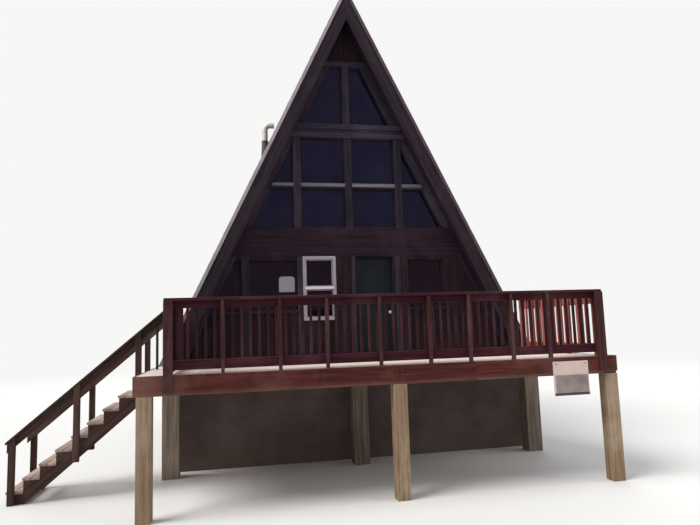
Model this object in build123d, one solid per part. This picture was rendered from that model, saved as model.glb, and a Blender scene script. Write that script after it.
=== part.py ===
"""A-frame cabin on a raised timber deck, in millimetres.

X runs to the right along the front wall, Y from the deck to the back of the cabin, Z up.
X is zero on the centre line, Y on the middle of the front wall and Z on the lowest ground.
"""
from build123d import *
import math
import os

# Levels of the two floors
DECK_LEVEL = 1950
MAIN_FLOOR_THICK = 285
UPPER_FLOOR_RISE = 2500
UPPER_FLOOR_THICK = 200

# The A shape, seen from the front
APEX_RISE = 7600
BASE_HALF = 3670
ROOF_THICK = 220
RAKE_DEPTH = 290
RAKE_THICK = 40
OPENING_INSET = 420
JOINT_GAP = 2
FLASHING_THICK = 12
FLASHING_WIDTH = 70
FLASHING_FACE = 50
RIDGE_CAP_LEG = 220
RIDGE_CAP_THICK = 12

# The cabin, seen from the side
CABIN_LENGTH = 8500
OVERHANG = 320
WALL_THICK = 150
FOUNDATION_THICK = 200
FOUNDATION_INSET = 100

# Levels of the gable wall, above the deck
SILL_RISE = 960
HEAD_RISE = 1950
BAND_LOW = 2030
BAND_TOP = 2610
RAIL_LOW = 3430
RAIL_TOP = 3530
BEAM_LOW = 4500
BEAM_TOP = 4790
PEAK_LOW = 6050
PEAK_COLLAR_DEPTH = 110

# Timbers of the gable wall
POST_WIDTH = 150
POST_SPACING = 1060
POST_PROUD = 20
BAND_PROUD = 25
RAIL_PROUD = 35
BEAM_PROUD = 40
BEAM_GROOVE = 90
BEAM_GROOVE_DEEP = 50
PEAK_RECESS = 25
GLASS_THICK = 20
SILL_DEPTH = 45
SILL_PROUD = 55

# Windows of the ground floor, placed from the centre line or from the sloped edge at the head
SMALL_WINDOW_HEAD = 118
BIG_WINDOW_RIGHT = -1090
RIGHT_WINDOW_LEFT = 1190
RIGHT_WINDOW_CLEAR = 358
WHITE_WINDOW_LEFT = -984
WHITE_WINDOW_WIDTH = 667
WHITE_WINDOW_SILL = 752
WHITE_MEETING_RISE = 1395
WHITE_MEMBER = 62
WHITE_PROUD = 30

# The door
DOOR_OPENING_LEFT = 85
DOOR_JAMB = 30
DOOR_LEAF_WIDTH = 748
DOOR_LEAF_THICK = 45
DOOR_HINGE_GAP = 5
DOOR_STRIKE_GAP = 7
DOOR_TOP_GAP = 7
DOOR_FLOOR_GAP = 8
DOOR_STOP = 12
DOOR_STOP_GAP = 6
DOOR_PANEL_MARGIN = 110
DOOR_PANEL_RECESS = 10
THRESHOLD_RISE = 20
HINGE_RADIUS = 6
HINGE_LENGTH = 100
HINGE_RISES = (250, 1000, 1700)
HINGE_PLATE = 3
KNOB_RADIUS = 30
KNOB_REACH = 62
KNOB_WAIST = 18
KNOB_ROSE = 5
KNOB_ROSE_TAPER = 5
KNOB_HEAD = 34
KNOB_SHOULDER = 10
KNOB_RISE = 880
KNOB_BACKSET = 62

# The back wall
BACK_WINDOW_CENTRE = 1500
BACK_WINDOW_WIDTH = 1000
BACK_UPPER_CENTRE = 620
BACK_UPPER_WIDTH = 700
BACK_UPPER_SILL = 3050
BACK_UPPER_HEAD = 4000
CASING_WIDTH = 70
CASING_PROUD = 25

# The deck
DECK_DEPTH = 3020
DECK_MARGIN = 30
DECK_BOARD = 38
FASCIA_THICK = 38
FASCIA_DEPTH = 280
FRONT_BEAM_THICK = 100
JOIST_THICK = 45
JOIST_DEPTH = 235
JOIST_SPACING = 610
JOIST_COUNT = 11
REAR_BEAM_DEPTH = 184
REAR_BEAM_THICK = 150
REAR_BEAM_SETBACK = 350
FRONT_POST_SIZE = 205
FRONT_POST_LEFT_INSET = 150
FRONT_POST_MIDDLE = 80
FRONT_POST_RIGHT_INSET = 115
REAR_POST_SIZE = 290
REAR_POST_LEFT_INSET = 250
REAR_POST_MIDDLE = -20
REAR_POST_RIGHT_INSET = 210

# The railings
RAIL_RISE = 1068
CAP_THICK = 38
CAP_OVERLAP = 12
RAIL_POST_WIDTH = 48
RAIL_POST_DEPTH = 70
CORNER_POST_WIDTH = 126
CORNER_POST_LAP = 240
CORNER_POST_PROUD = 40
TOP_BOARD_DEPTH = 105
RIGHT_BOARD_DEPTH = 190
BOTTOM_RAIL_RISE = 60
BOTTOM_RAIL_DEPTH = 140
RAIL_BOARD = 38
BALUSTER = 38
BALUSTER_SPACING = 126
LEFT_RAIL_INSET = 466
RIGHT_RAIL_INSET = 250
FRONT_RAIL_BAYS = (744, 811, 688, 802, 776, 642, 709, 628, 884)
SIDE_RAIL_BAY = 830
RAIL_END_GAP = 27

# The stairs on the left side of the deck
STAIR_RISERS = 10
STAIR_RUN = 230
STAIR_BACK = 95
STAIR_WIDTH = 950
TREAD_THICK = 38
TREAD_NOSING = 20
STRINGER_THICK = 38
STRINGER_THROAT = 180
STAIR_RAIL_INSET = 357
STAIR_POST_WIDTH = 92
HANDRAIL_BOARD = 140
HANDRAIL_CAP = 38
STAIR_POST_STEPS = (0.7, 4.7, 8.7)
STAIR_BALUSTERS = (90, 215)

# The fittings
SIGN_INSET = 530
SIGN_WIDTH = 606
SIGN_TOP = 60
SIGN_HEIGHT = 530
SIGN_THICK = 20
NOTICE_LEFT = -1455
NOTICE_WIDTH = 312
NOTICE_RISE = 1330
NOTICE_HEIGHT = 308
NOTICE_ROUNDING = 62
NOTICE_THICK = 6
VENT_RADIUS = 62
VENT_PLACE = (-1640, 800)
VENT_RISE = 4920
VENT_BEND = 110
VENT_OUTLET = 90
VENT_FLANGE = 170

# Values worked out from the sizes above
FOUNDATION_HALF = BASE_HALF - FOUNDATION_INSET
DECK_HALF = BASE_HALF + DECK_MARGIN
SLOPE = BASE_HALF / APEX_RISE
LEAN = math.atan(SLOPE)
ROOF_ACROSS = ROOF_THICK / math.cos(LEAN)
RAKE_ACROSS = RAKE_DEPTH / math.cos(LEAN)
FLASHING_ACROSS = FLASHING_THICK / math.cos(LEAN)
FLASHING_FACE_ACROSS = FLASHING_FACE / math.cos(LEAN)
CAP_ACROSS = RIDGE_CAP_THICK / math.cos(LEAN)
WALL_FRONT = -WALL_THICK / 2
WALL_INSIDE = WALL_THICK / 2
BACK_INSIDE = WALL_FRONT + CABIN_LENGTH - WALL_THICK
BACK_OUTSIDE = WALL_FRONT + CABIN_LENGTH
ROOF_FRONT = WALL_FRONT - OVERHANG
ROOF_BACK = BACK_OUTSIDE + OVERHANG
RAKE_FRONT = ROOF_FRONT - RAKE_THICK
RAKE_BACK = ROOF_BACK + RAKE_THICK
POST_HALF = POST_WIDTH / 2
HEAD_HALF = (APEX_RISE - HEAD_RISE) * SLOPE - OPENING_INSET
SMALL_WINDOW_RIGHT = SMALL_WINDOW_HEAD - HEAD_HALF
BIG_WINDOW_LEFT = SMALL_WINDOW_RIGHT + POST_WIDTH
RIGHT_WINDOW_RIGHT = HEAD_HALF - RIGHT_WINDOW_CLEAR
WHITE_WINDOW_RIGHT = WHITE_WINDOW_LEFT + WHITE_WINDOW_WIDTH
DOOR_LEFT = DOOR_OPENING_LEFT + DOOR_JAMB + DOOR_HINGE_GAP
DOOR_RIGHT = DOOR_LEFT + DOOR_LEAF_WIDTH
DOOR_OPENING_RIGHT = DOOR_RIGHT + DOOR_STRIKE_GAP + DOOR_JAMB
DOOR_BACK = WALL_INSIDE
DOOR_FRONT = DOOR_BACK - DOOR_LEAF_THICK
HINGE_X = DOOR_LEFT - DOOR_HINGE_GAP / 2
HINGE_Y = DOOR_BACK + HINGE_RADIUS
DECK_FRONT = WALL_FRONT - DECK_DEPTH
DECK_INSIDE = DECK_FRONT + FASCIA_THICK
SIDE_INSIDE = DECK_HALF - FASCIA_THICK
JOIST_FRONT = DECK_INSIDE + FRONT_BEAM_THICK
FRONT_POST_PLACES = (
    FRONT_POST_LEFT_INSET - DECK_HALF,
    FRONT_POST_MIDDLE,
    DECK_HALF - FRONT_POST_RIGHT_INSET,
)
REAR_POST_PLACES = (
    REAR_POST_LEFT_INSET - DECK_HALF,
    REAR_POST_MIDDLE,
    DECK_HALF - REAR_POST_RIGHT_INSET,
)
JOIST_TOP = DECK_LEVEL - DECK_BOARD
JOIST_LOW = JOIST_TOP - JOIST_DEPTH
RAIL_TOP_LEVEL = DECK_LEVEL + RAIL_RISE
CAP_LOW = RAIL_TOP_LEVEL - CAP_THICK
FRONT_RAIL_START = LEFT_RAIL_INSET - DECK_HALF
FRONT_RAIL_END = DECK_HALF - RIGHT_RAIL_INSET
BAY_SCALE = (FRONT_RAIL_END - FRONT_RAIL_START) / sum(FRONT_RAIL_BAYS)
RAIL_BAND = RAIL_POST_DEPTH + RAIL_BOARD + BALUSTER
RAIL_INSIDE = DECK_FRONT + RAIL_BAND + CAP_OVERLAP
LEFT_FACE = -FRONT_RAIL_START + CORNER_POST_WIDTH / 2
RIGHT_FACE = FRONT_RAIL_END + CORNER_POST_WIDTH / 2
STAIR_TOP_X = -DECK_HALF
STAIR_RISE = DECK_LEVEL / STAIR_RISERS
STAIR_PITCH = STAIR_RISE / STAIR_RUN
STAIR_FAR = RAKE_FRONT - STAIR_BACK
STAIR_NEAR = STAIR_FAR - STAIR_WIDTH
STAIR_FOOT_X = STAIR_TOP_X - (STAIR_RISERS - 1) * STAIR_RUN


def box(x0, x1, y0, y1, z0, z1):
    """A squared timber between two opposite corners."""
    middle = Pos((x0 + x1) / 2, (y0 + y1) / 2, (z0 + z1) / 2)
    return middle * Box(x1 - x0, y1 - y0, z1 - z0)


def plate(points, y0, y1):
    """A plate with the outline points (x, height), that stands across the cabin from y0 to y1."""
    outline = Plane.XZ.offset(-y0) * make_face(Polyline(*points, close=True))
    return extrude(outline, amount=y1 - y0, dir=(0, 1, 0))


def ring(x0, x1, z0, z1, width, y0, y1):
    """A rectangular frame of members of one width, round an opening."""
    outside = box(x0, x1, y0, y1, z0, z1)
    return outside - box(x0 + width, x1 - width, y0, y1, z0 + width, z1 - width)


def half_width(rise, inset=0):
    """Half the cabin's width at a rise above the deck, inset from the roof's outer face."""
    return (APEX_RISE - rise) * SLOPE - inset


def rise_at(x, inset=0):
    """The rise above the deck at which a line parallel to the roof passes x."""
    return APEX_RISE - (x + inset) / SLOPE


def level(rise):
    """Height above the ground of a rise above the deck."""
    return DECK_LEVEL + rise


def sloped_band(side, outer, inner, y0, y1, off_centre=0):
    """A band parallel to one roof slope, from the deck to a plumb cut at the ridge."""
    points = [
        (side * half_width(0, outer), level(0)),
        (side * off_centre, level(rise_at(off_centre, outer))),
        (side * off_centre, level(rise_at(off_centre, inner))),
        (side * half_width(0, inner), level(0)),
    ]
    return plate(points, y0, y1)


def cross_piece(low, high, inset, y0, y1):
    """A level piece across the gable, cut to the roof slopes at both ends."""
    points = [
        (-half_width(low, inset), level(low)),
        (-half_width(high, inset), level(high)),
        (half_width(high, inset), level(high)),
        (half_width(low, inset), level(low)),
    ]
    return plate(points, y0, y1)


def side_pane(side, low, high, straight, inset, y0, y1):
    """A piece between an upright at x = straight and a roof slope, pointed where they meet."""
    top = min(high, rise_at(straight, inset))
    points = [
        (side * half_width(low, inset), level(low)),
        (side * half_width(top, inset), level(top)),
        (side * straight, level(low)),
    ]
    if top == high:
        points.insert(2, (side * straight, level(high)))
    return plate(points, y0, y1)


# Foundation and floors

def foundation_front():
    top = DECK_LEVEL - MAIN_FLOOR_THICK
    half = FOUNDATION_THICK / 2
    return box(-FOUNDATION_HALF, FOUNDATION_HALF, -half, half, 0, top)


def foundation_back():
    middle = (BACK_INSIDE + BACK_OUTSIDE) / 2
    half = FOUNDATION_THICK / 2
    top = DECK_LEVEL - MAIN_FLOOR_THICK
    return box(-FOUNDATION_HALF, FOUNDATION_HALF, middle - half, middle + half, 0, top)


def foundation_sides():
    y0 = FOUNDATION_THICK / 2
    y1 = (BACK_INSIDE + BACK_OUTSIDE) / 2 - FOUNDATION_THICK / 2
    inner = FOUNDATION_HALF - FOUNDATION_THICK
    top = DECK_LEVEL - MAIN_FLOOR_THICK
    walls = [box(-FOUNDATION_HALF, -inner, y0, y1, 0, top), box(inner, FOUNDATION_HALF, y0, y1, 0, top)]
    return Compound(children=walls)


def main_floor():
    low = DECK_LEVEL - MAIN_FLOOR_THICK
    return box(-BASE_HALF, BASE_HALF, WALL_FRONT, BACK_OUTSIDE, low, DECK_LEVEL)


def upper_floor():
    low = UPPER_FLOOR_RISE - UPPER_FLOOR_THICK
    return cross_piece(low, UPPER_FLOOR_RISE, ROOF_ACROSS, WALL_INSIDE, BACK_INSIDE)


# Roof

def roof(side):
    return sloped_band(side, 0, ROOF_ACROSS, ROOF_FRONT, ROOF_BACK)


def rake_boards(y0, y1):
    """The two boards in front of one end of the roof, with a joint at the ridge."""
    boards = [sloped_band(side, 0, RAKE_ACROSS, y0, y1, JOINT_GAP / 2) for side in (-1, 1)]
    return Compound(children=boards)


def edge_flashings(side):
    """Folded metal edges of one slope: a leg on the roof and a leg over each rake board."""
    edges = []
    for face, outward in ((RAKE_FRONT, -1), (RAKE_BACK, 1)):
        y0, y1 = sorted((face + outward * FLASHING_THICK, face - outward * FLASHING_WIDTH))
        edge = sloped_band(side, -FLASHING_ACROSS, 0, y0, y1, JOINT_GAP / 2)
        y0, y1 = sorted((face, face + outward * FLASHING_THICK))
        edge += sloped_band(side, 0, FLASHING_FACE_ACROSS, y0, y1, JOINT_GAP / 2)
        edges.append(edge)
    return Compound(children=edges)


def ridge_cap():
    """A folded metal cap over the ridge, between the flashings of the two gables."""
    low = APEX_RISE - RIDGE_CAP_LEG * math.cos(LEAN)
    points = [
        (-half_width(low, -CAP_ACROSS), level(low)),
        (0, level(rise_at(0, -CAP_ACROSS))),
        (half_width(low, -CAP_ACROSS), level(low)),
        (half_width(low), level(low)),
        (0, level(APEX_RISE)),
        (-half_width(low), level(low)),
    ]
    return plate(points, RAKE_FRONT + FLASHING_WIDTH, RAKE_BACK - FLASHING_WIDTH)


# Front wall, ground floor

def front_wall_left():
    """The wall left of the door, with the small, the big and the white window cut through."""
    outline = [
        (-half_width(0, ROOF_ACROSS), level(0)),
        (-half_width(BAND_LOW, ROOF_ACROSS), level(BAND_LOW)),
        (DOOR_OPENING_LEFT, level(BAND_LOW)),
        (DOOR_OPENING_LEFT, level(0)),
    ]
    wall = plate(outline, WALL_FRONT, WALL_INSIDE)
    wall -= small_window(WALL_FRONT, WALL_INSIDE)
    wall -= big_window(WALL_FRONT, WALL_INSIDE)
    wall -= white_window(WALL_FRONT, WALL_INSIDE)
    return wall


def front_wall_right():
    """The wall right of the door, with one window cut through."""
    outline = [
        (half_width(0, ROOF_ACROSS), level(0)),
        (half_width(BAND_LOW, ROOF_ACROSS), level(BAND_LOW)),
        (DOOR_OPENING_RIGHT, level(BAND_LOW)),
        (DOOR_OPENING_RIGHT, level(0)),
    ]
    return plate(outline, WALL_FRONT, WALL_INSIDE) - right_window(WALL_FRONT, WALL_INSIDE)


def small_window(y0, y1):
    """The window against the left slope."""
    points = [
        (-half_width(SILL_RISE, OPENING_INSET), level(SILL_RISE)),
        (-half_width(HEAD_RISE, OPENING_INSET), level(HEAD_RISE)),
        (SMALL_WINDOW_RIGHT, level(HEAD_RISE)),
        (SMALL_WINDOW_RIGHT, level(SILL_RISE)),
    ]
    return plate(points, y0, y1)


def big_window(y0, y1):
    return box(BIG_WINDOW_LEFT, BIG_WINDOW_RIGHT, y0, y1, level(SILL_RISE), level(HEAD_RISE))


def right_window(y0, y1):
    return box(RIGHT_WINDOW_LEFT, RIGHT_WINDOW_RIGHT, y0, y1, level(SILL_RISE), level(HEAD_RISE))


def white_window(y0, y1):
    return box(WHITE_WINDOW_LEFT, WHITE_WINDOW_RIGHT, y0, y1, level(WHITE_WINDOW_SILL), level(BAND_LOW))


def ground_floor_glass():
    """The panes of the three plain windows and the two of the white one."""
    half = GLASS_THICK / 2
    panes = [cut(-half, half) for cut in (small_window, big_window, right_window)]
    x0 = WHITE_WINDOW_LEFT + WHITE_MEMBER
    x1 = WHITE_WINDOW_RIGHT - WHITE_MEMBER
    middle = level(WHITE_MEETING_RISE)
    low = level(WHITE_WINDOW_SILL) + WHITE_MEMBER
    high = level(BAND_LOW) - WHITE_MEMBER
    panes.append(box(x0, x1, -half, half, low, middle - WHITE_MEMBER / 2))
    panes.append(box(x0, x1, -half, half, middle + WHITE_MEMBER / 2, high))
    return Compound(children=panes)


def window_sills():
    """Sill boards on the wall's outer face, under the left and the right windows."""
    y0 = WALL_FRONT - SILL_PROUD
    z0 = level(SILL_RISE) - SILL_DEPTH
    left = -half_width(SILL_RISE, OPENING_INSET)
    sills = [
        box(left, BIG_WINDOW_RIGHT + POST_HALF, y0, WALL_FRONT, z0, level(SILL_RISE)),
        box(RIGHT_WINDOW_LEFT, RIGHT_WINDOW_RIGHT + POST_HALF, y0, WALL_FRONT, z0, level(SILL_RISE)),
    ]
    return Compound(children=sills)


def white_frame():
    """The white frame and its meeting rail, standing proud of the wall."""
    y0 = WALL_FRONT - WHITE_PROUD
    frame = ring(
        WHITE_WINDOW_LEFT, WHITE_WINDOW_RIGHT, level(WHITE_WINDOW_SILL), level(BAND_LOW),
        WHITE_MEMBER, y0, WALL_INSIDE,
    )
    z0 = level(WHITE_MEETING_RISE) - WHITE_MEMBER / 2
    rail = box(
        WHITE_WINDOW_LEFT + WHITE_MEMBER, WHITE_WINDOW_RIGHT - WHITE_MEMBER, y0, WALL_INSIDE,
        z0, z0 + WHITE_MEMBER,
    )
    return frame + rail


# Front wall, gable

def floor_band():
    return cross_piece(BAND_LOW, BAND_TOP, ROOF_ACROSS, WALL_FRONT - BAND_PROUD, WALL_INSIDE)


def upper_posts():
    """Three posts from the band to the collar beam, and the king post above it."""
    y0 = WALL_FRONT - POST_PROUD
    posts = [
        box(x - POST_HALF, x + POST_HALF, y0, WALL_INSIDE, level(BAND_TOP), level(BEAM_LOW))
        for x in (-POST_SPACING, 0, POST_SPACING)
    ]
    posts.append(box(-POST_HALF, POST_HALF, y0, WALL_INSIDE, level(BEAM_TOP), level(PEAK_LOW)))
    return Compound(children=posts)


def stud(side, low, high):
    points = [
        (side * half_width(low, ROOF_ACROSS), level(low)),
        (side * half_width(high, ROOF_ACROSS), level(high)),
        (side * half_width(high, OPENING_INSET), level(high)),
        (side * half_width(low, OPENING_INSET), level(low)),
    ]
    return plate(points, WALL_FRONT, WALL_INSIDE)


def gable_studs():
    """Sloped studs along the roof, cut off by the outer posts and by the collar beam."""
    y0 = WALL_FRONT - POST_PROUD
    studs = []
    for side in (-1, 1):
        x = side * POST_SPACING
        post = box(x - POST_HALF, x + POST_HALF, y0, WALL_INSIDE, level(BAND_TOP), level(BEAM_LOW))
        lower = stud(side, BAND_TOP, BEAM_LOW) - post
        outside = [piece for piece in lower.solids() if abs(piece.center().X) > POST_SPACING]
        studs += outside
        studs.append(stud(side, BEAM_TOP, PEAK_LOW))
    return Compound(children=studs)


def window_rail():
    """The rail between the two rows of upper windows, in lengths between the posts."""
    y0 = WALL_FRONT - RAIL_PROUD
    inner = POST_SPACING - POST_HALF
    outer = POST_SPACING + POST_HALF
    pieces = []
    for side in (-1, 1):
        x0, x1 = sorted((side * POST_HALF, side * inner))
        pieces.append(box(x0, x1, y0, WALL_INSIDE, level(RAIL_LOW), level(RAIL_TOP)))
        pieces.append(side_pane(side, RAIL_LOW, RAIL_TOP, outer, OPENING_INSET, y0, WALL_INSIDE))
    return Compound(children=pieces)


def collar_beams():
    """The double beam over the upper windows, grooved along its face, and the peak's collar."""
    y0 = WALL_FRONT - BEAM_PROUD
    beam = cross_piece(BEAM_LOW, BEAM_TOP, ROOF_ACROSS, y0, WALL_INSIDE)
    middle = (BEAM_LOW + BEAM_TOP) / 2
    low = middle - BEAM_GROOVE / 2
    high = middle + BEAM_GROOVE / 2
    beam -= cross_piece(low, high, 0, y0, y0 + BEAM_GROOVE_DEEP)
    peak_top = PEAK_LOW + PEAK_COLLAR_DEPTH
    collar = cross_piece(PEAK_LOW, peak_top, ROOF_ACROSS, WALL_FRONT - POST_PROUD, WALL_INSIDE)
    return Compound(children=[beam, collar])


def triangle(low, inset, y0, y1):
    points = [
        (-half_width(low, inset), level(low)),
        (0, level(rise_at(0, inset))),
        (half_width(low, inset), level(low)),
    ]
    return plate(points, y0, y1)


def peak_panel():
    """The boarded peak, recessed between the two sloped studs."""
    low = PEAK_LOW + PEAK_COLLAR_DEPTH
    panel = triangle(low, ROOF_ACROSS, WALL_FRONT, WALL_INSIDE)
    return panel - triangle(low, OPENING_INSET, WALL_FRONT, WALL_FRONT + PEAK_RECESS)


def gable_glass():
    """Two rows of four panes, and two panes beside the king post, the outer ones along the roof."""
    inner = POST_SPACING - POST_HALF
    outer = POST_SPACING + POST_HALF
    half = GLASS_THICK / 2
    panes = []
    for side in (-1, 1):
        x0, x1 = sorted((side * POST_HALF, side * inner))
        for low, high in ((BAND_TOP, RAIL_LOW), (RAIL_TOP, BEAM_LOW)):
            panes.append(box(x0, x1, -half, half, level(low), level(high)))
            panes.append(side_pane(side, low, high, outer, OPENING_INSET, -half, half))
        panes.append(side_pane(side, BEAM_TOP, PEAK_LOW, POST_HALF, OPENING_INSET, -half, half))
    return Compound(children=panes)


# Door

def door_jambs():
    """Two jambs with the stops that the leaf closes towards."""
    top = level(BAND_LOW) - DOOR_JAMB
    stop_back = DOOR_FRONT - DOOR_STOP_GAP
    left = box(DOOR_OPENING_LEFT, DOOR_OPENING_LEFT + DOOR_JAMB, WALL_FRONT, WALL_INSIDE, level(0), top)
    edge = DOOR_OPENING_LEFT + DOOR_JAMB
    left += box(edge, edge + DOOR_STOP, WALL_FRONT, stop_back, level(0), top)
    right = box(DOOR_OPENING_RIGHT - DOOR_JAMB, DOOR_OPENING_RIGHT, WALL_FRONT, WALL_INSIDE, level(0), top)
    edge = DOOR_OPENING_RIGHT - DOOR_JAMB
    right += box(edge - DOOR_STOP, edge, WALL_FRONT, stop_back, level(0), top)
    return Compound(children=[left, right])


def door_head():
    z1 = level(BAND_LOW)
    return box(DOOR_OPENING_LEFT, DOOR_OPENING_RIGHT, WALL_FRONT, WALL_INSIDE, z1 - DOOR_JAMB, z1)


def threshold():
    x0 = DOOR_OPENING_LEFT + DOOR_JAMB + DOOR_STOP
    x1 = DOOR_OPENING_RIGHT - DOOR_JAMB - DOOR_STOP
    y1 = DOOR_FRONT - DOOR_STOP_GAP
    return box(x0, x1, WALL_FRONT, y1, level(0), level(THRESHOLD_RISE))


def entry_door():
    """The leaf, hung on the left, with one upper and one lower field let into its outer face."""
    low = level(DOOR_FLOOR_GAP)
    top = level(BAND_LOW) - DOOR_JAMB - DOOR_TOP_GAP
    leaf = box(DOOR_LEFT, DOOR_RIGHT, DOOR_FRONT, DOOR_BACK, low, top)
    x0 = DOOR_LEFT + DOOR_PANEL_MARGIN
    x1 = DOOR_RIGHT - DOOR_PANEL_MARGIN
    y1 = DOOR_FRONT + DOOR_PANEL_RECESS
    middle = level(KNOB_RISE)
    leaf -= box(x0, x1, DOOR_FRONT, y1, low + DOOR_PANEL_MARGIN, middle - DOOR_PANEL_MARGIN)
    leaf -= box(x0, x1, DOOR_FRONT, y1, middle + DOOR_PANEL_MARGIN, top - DOOR_PANEL_MARGIN)
    return leaf


def door_knob():
    """A round knob on each face of the leaf, turned about one spindle line."""
    neck = KNOB_RADIUS - KNOB_WAIST
    profile = make_face(Polyline(
        (0, 0),
        (KNOB_RADIUS, 0),
        (KNOB_RADIUS, KNOB_ROSE),
        (neck, KNOB_ROSE + KNOB_ROSE_TAPER),
        (neck, KNOB_REACH - KNOB_HEAD),
        (KNOB_RADIUS, KNOB_REACH - KNOB_HEAD + KNOB_SHOULDER),
        (KNOB_RADIUS, KNOB_REACH - KNOB_SHOULDER),
        (neck, KNOB_REACH),
        (0, KNOB_REACH),
        close=True,
    ))
    turned = revolve(Plane.XZ * profile, axis=Axis.Z)
    place = (DOOR_RIGHT - KNOB_BACKSET, level(KNOB_RISE))
    outer = Pos(place[0], DOOR_FRONT, place[1]) * Rot(90, 0, 0) * turned
    inner = Pos(place[0], DOOR_BACK, place[1]) * Rot(-90, 0, 0) * turned
    return Compound(children=[outer, inner])


def door_hinges():
    """Three hinge barrels with the plates that screw them to the left jamb."""
    hinges = []
    for rise in HINGE_RISES:
        z0 = level(rise)
        barrel = Pos(HINGE_X, HINGE_Y, z0 + HINGE_LENGTH / 2) * Cylinder(
            HINGE_RADIUS, HINGE_LENGTH
        )
        wing = box(
            DOOR_OPENING_LEFT, HINGE_X, WALL_INSIDE, WALL_INSIDE + HINGE_PLATE, z0, z0 + HINGE_LENGTH
        )
        hinges.append(barrel + wing)
    return Compound(children=hinges)


# Back wall

def back_window_places():
    """The four windows of the back wall, as (x0, x1, low rise, high rise)."""
    places = []
    for side in (-1, 1):
        x = side * BACK_WINDOW_CENTRE
        half = BACK_WINDOW_WIDTH / 2
        places.append((x - half, x + half, SILL_RISE, HEAD_RISE))
    for side in (-1, 1):
        x = side * BACK_UPPER_CENTRE
        half = BACK_UPPER_WIDTH / 2
        places.append((x - half, x + half, BACK_UPPER_SILL, BACK_UPPER_HEAD))
    return places


def cut_back_windows(wall):
    for x0, x1, low, high in back_window_places():
        wall -= box(x0, x1, BACK_INSIDE, BACK_OUTSIDE, level(low), level(high))
    return wall


def back_wall_lower():
    return cut_back_windows(cross_piece(0, BAND_LOW, ROOF_ACROSS, BACK_INSIDE, BACK_OUTSIDE))


def back_band():
    return cross_piece(BAND_LOW, BAND_TOP, ROOF_ACROSS, BACK_INSIDE, BACK_OUTSIDE + BAND_PROUD)


def back_wall_upper():
    return cut_back_windows(triangle(BAND_TOP, ROOF_ACROSS, BACK_INSIDE, BACK_OUTSIDE))


def back_frames():
    """A casing in each back window, from the wall's inner face to just proud of its outer face."""
    frames = []
    for x0, x1, low, high in back_window_places():
        y1 = BACK_OUTSIDE + CASING_PROUD
        frames.append(ring(x0, x1, level(low), level(high), CASING_WIDTH, BACK_INSIDE, y1))
    return Compound(children=frames)


def back_glass():
    panes = []
    middle = (BACK_INSIDE + BACK_OUTSIDE) / 2
    half = GLASS_THICK / 2
    for x0, x1, low, high in back_window_places():
        panes.append(box(
            x0 + CASING_WIDTH, x1 - CASING_WIDTH, middle - half, middle + half,
            level(low) + CASING_WIDTH, level(high) - CASING_WIDTH,
        ))
    return Compound(children=panes)


# Deck

def deck_boards():
    return box(-SIDE_INSIDE, SIDE_INSIDE, DECK_INSIDE, WALL_FRONT, JOIST_TOP, DECK_LEVEL)


def front_fascia():
    return box(-DECK_HALF, DECK_HALF, DECK_FRONT, DECK_INSIDE, DECK_LEVEL - FASCIA_DEPTH, DECK_LEVEL)


def side_fascias():
    low = DECK_LEVEL - FASCIA_DEPTH
    boards = [
        box(-DECK_HALF, -SIDE_INSIDE, DECK_INSIDE, WALL_FRONT, low, DECK_LEVEL),
        box(SIDE_INSIDE, DECK_HALF, DECK_INSIDE, WALL_FRONT, low, DECK_LEVEL),
    ]
    return Compound(children=boards)


def deck_beams():
    """The beam behind the front fascia and the one under the joists near the cabin."""
    low = DECK_LEVEL - FASCIA_DEPTH
    front = box(-SIDE_INSIDE, SIDE_INSIDE, DECK_INSIDE, JOIST_FRONT, low, JOIST_TOP)
    y1 = WALL_FRONT - REAR_BEAM_SETBACK
    low = JOIST_LOW - REAR_BEAM_DEPTH
    rear = box(-SIDE_INSIDE, SIDE_INSIDE, y1 - REAR_BEAM_THICK, y1, low, JOIST_LOW)
    return Compound(children=[front, rear])


def deck_joists():
    first = -(JOIST_COUNT - 1) / 2 * JOIST_SPACING
    joists = []
    for number in range(JOIST_COUNT):
        x = first + number * JOIST_SPACING
        joists.append(box(
            x - JOIST_THICK / 2, x + JOIST_THICK / 2, JOIST_FRONT, WALL_FRONT, JOIST_LOW, JOIST_TOP
        ))
    return Compound(children=joists)


def front_posts():
    """Square posts under the front fascia and beam, down to the ground."""
    top = DECK_LEVEL - FASCIA_DEPTH
    half = FRONT_POST_SIZE / 2
    posts = [
        box(x - half, x + half, DECK_FRONT, DECK_FRONT + FRONT_POST_SIZE, 0, top)
        for x in FRONT_POST_PLACES
    ]
    return Compound(children=posts)


def rear_posts():
    """Thick posts under the rear beam, in front of the foundation wall."""
    top = JOIST_LOW - REAR_BEAM_DEPTH
    y = WALL_FRONT - REAR_BEAM_SETBACK - REAR_BEAM_THICK / 2
    half = REAR_POST_SIZE / 2
    posts = [box(x - half, x + half, y - half, y + half, 0, top) for x in REAR_POST_PLACES]
    return Compound(children=posts)


# Railings

def facing(side, u0, u1, v0, v1, z0, z1):
    """A timber of a railing: u along the railing, v outwards from the cabin's axes."""
    if side == "front":
        return box(u0, u1, -v1, -v0, z0, z1)
    if side == "right":
        return box(v0, v1, u0, u1, z0, z1)
    return box(-v1, -v0, u0, u1, z0, z1)


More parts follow.
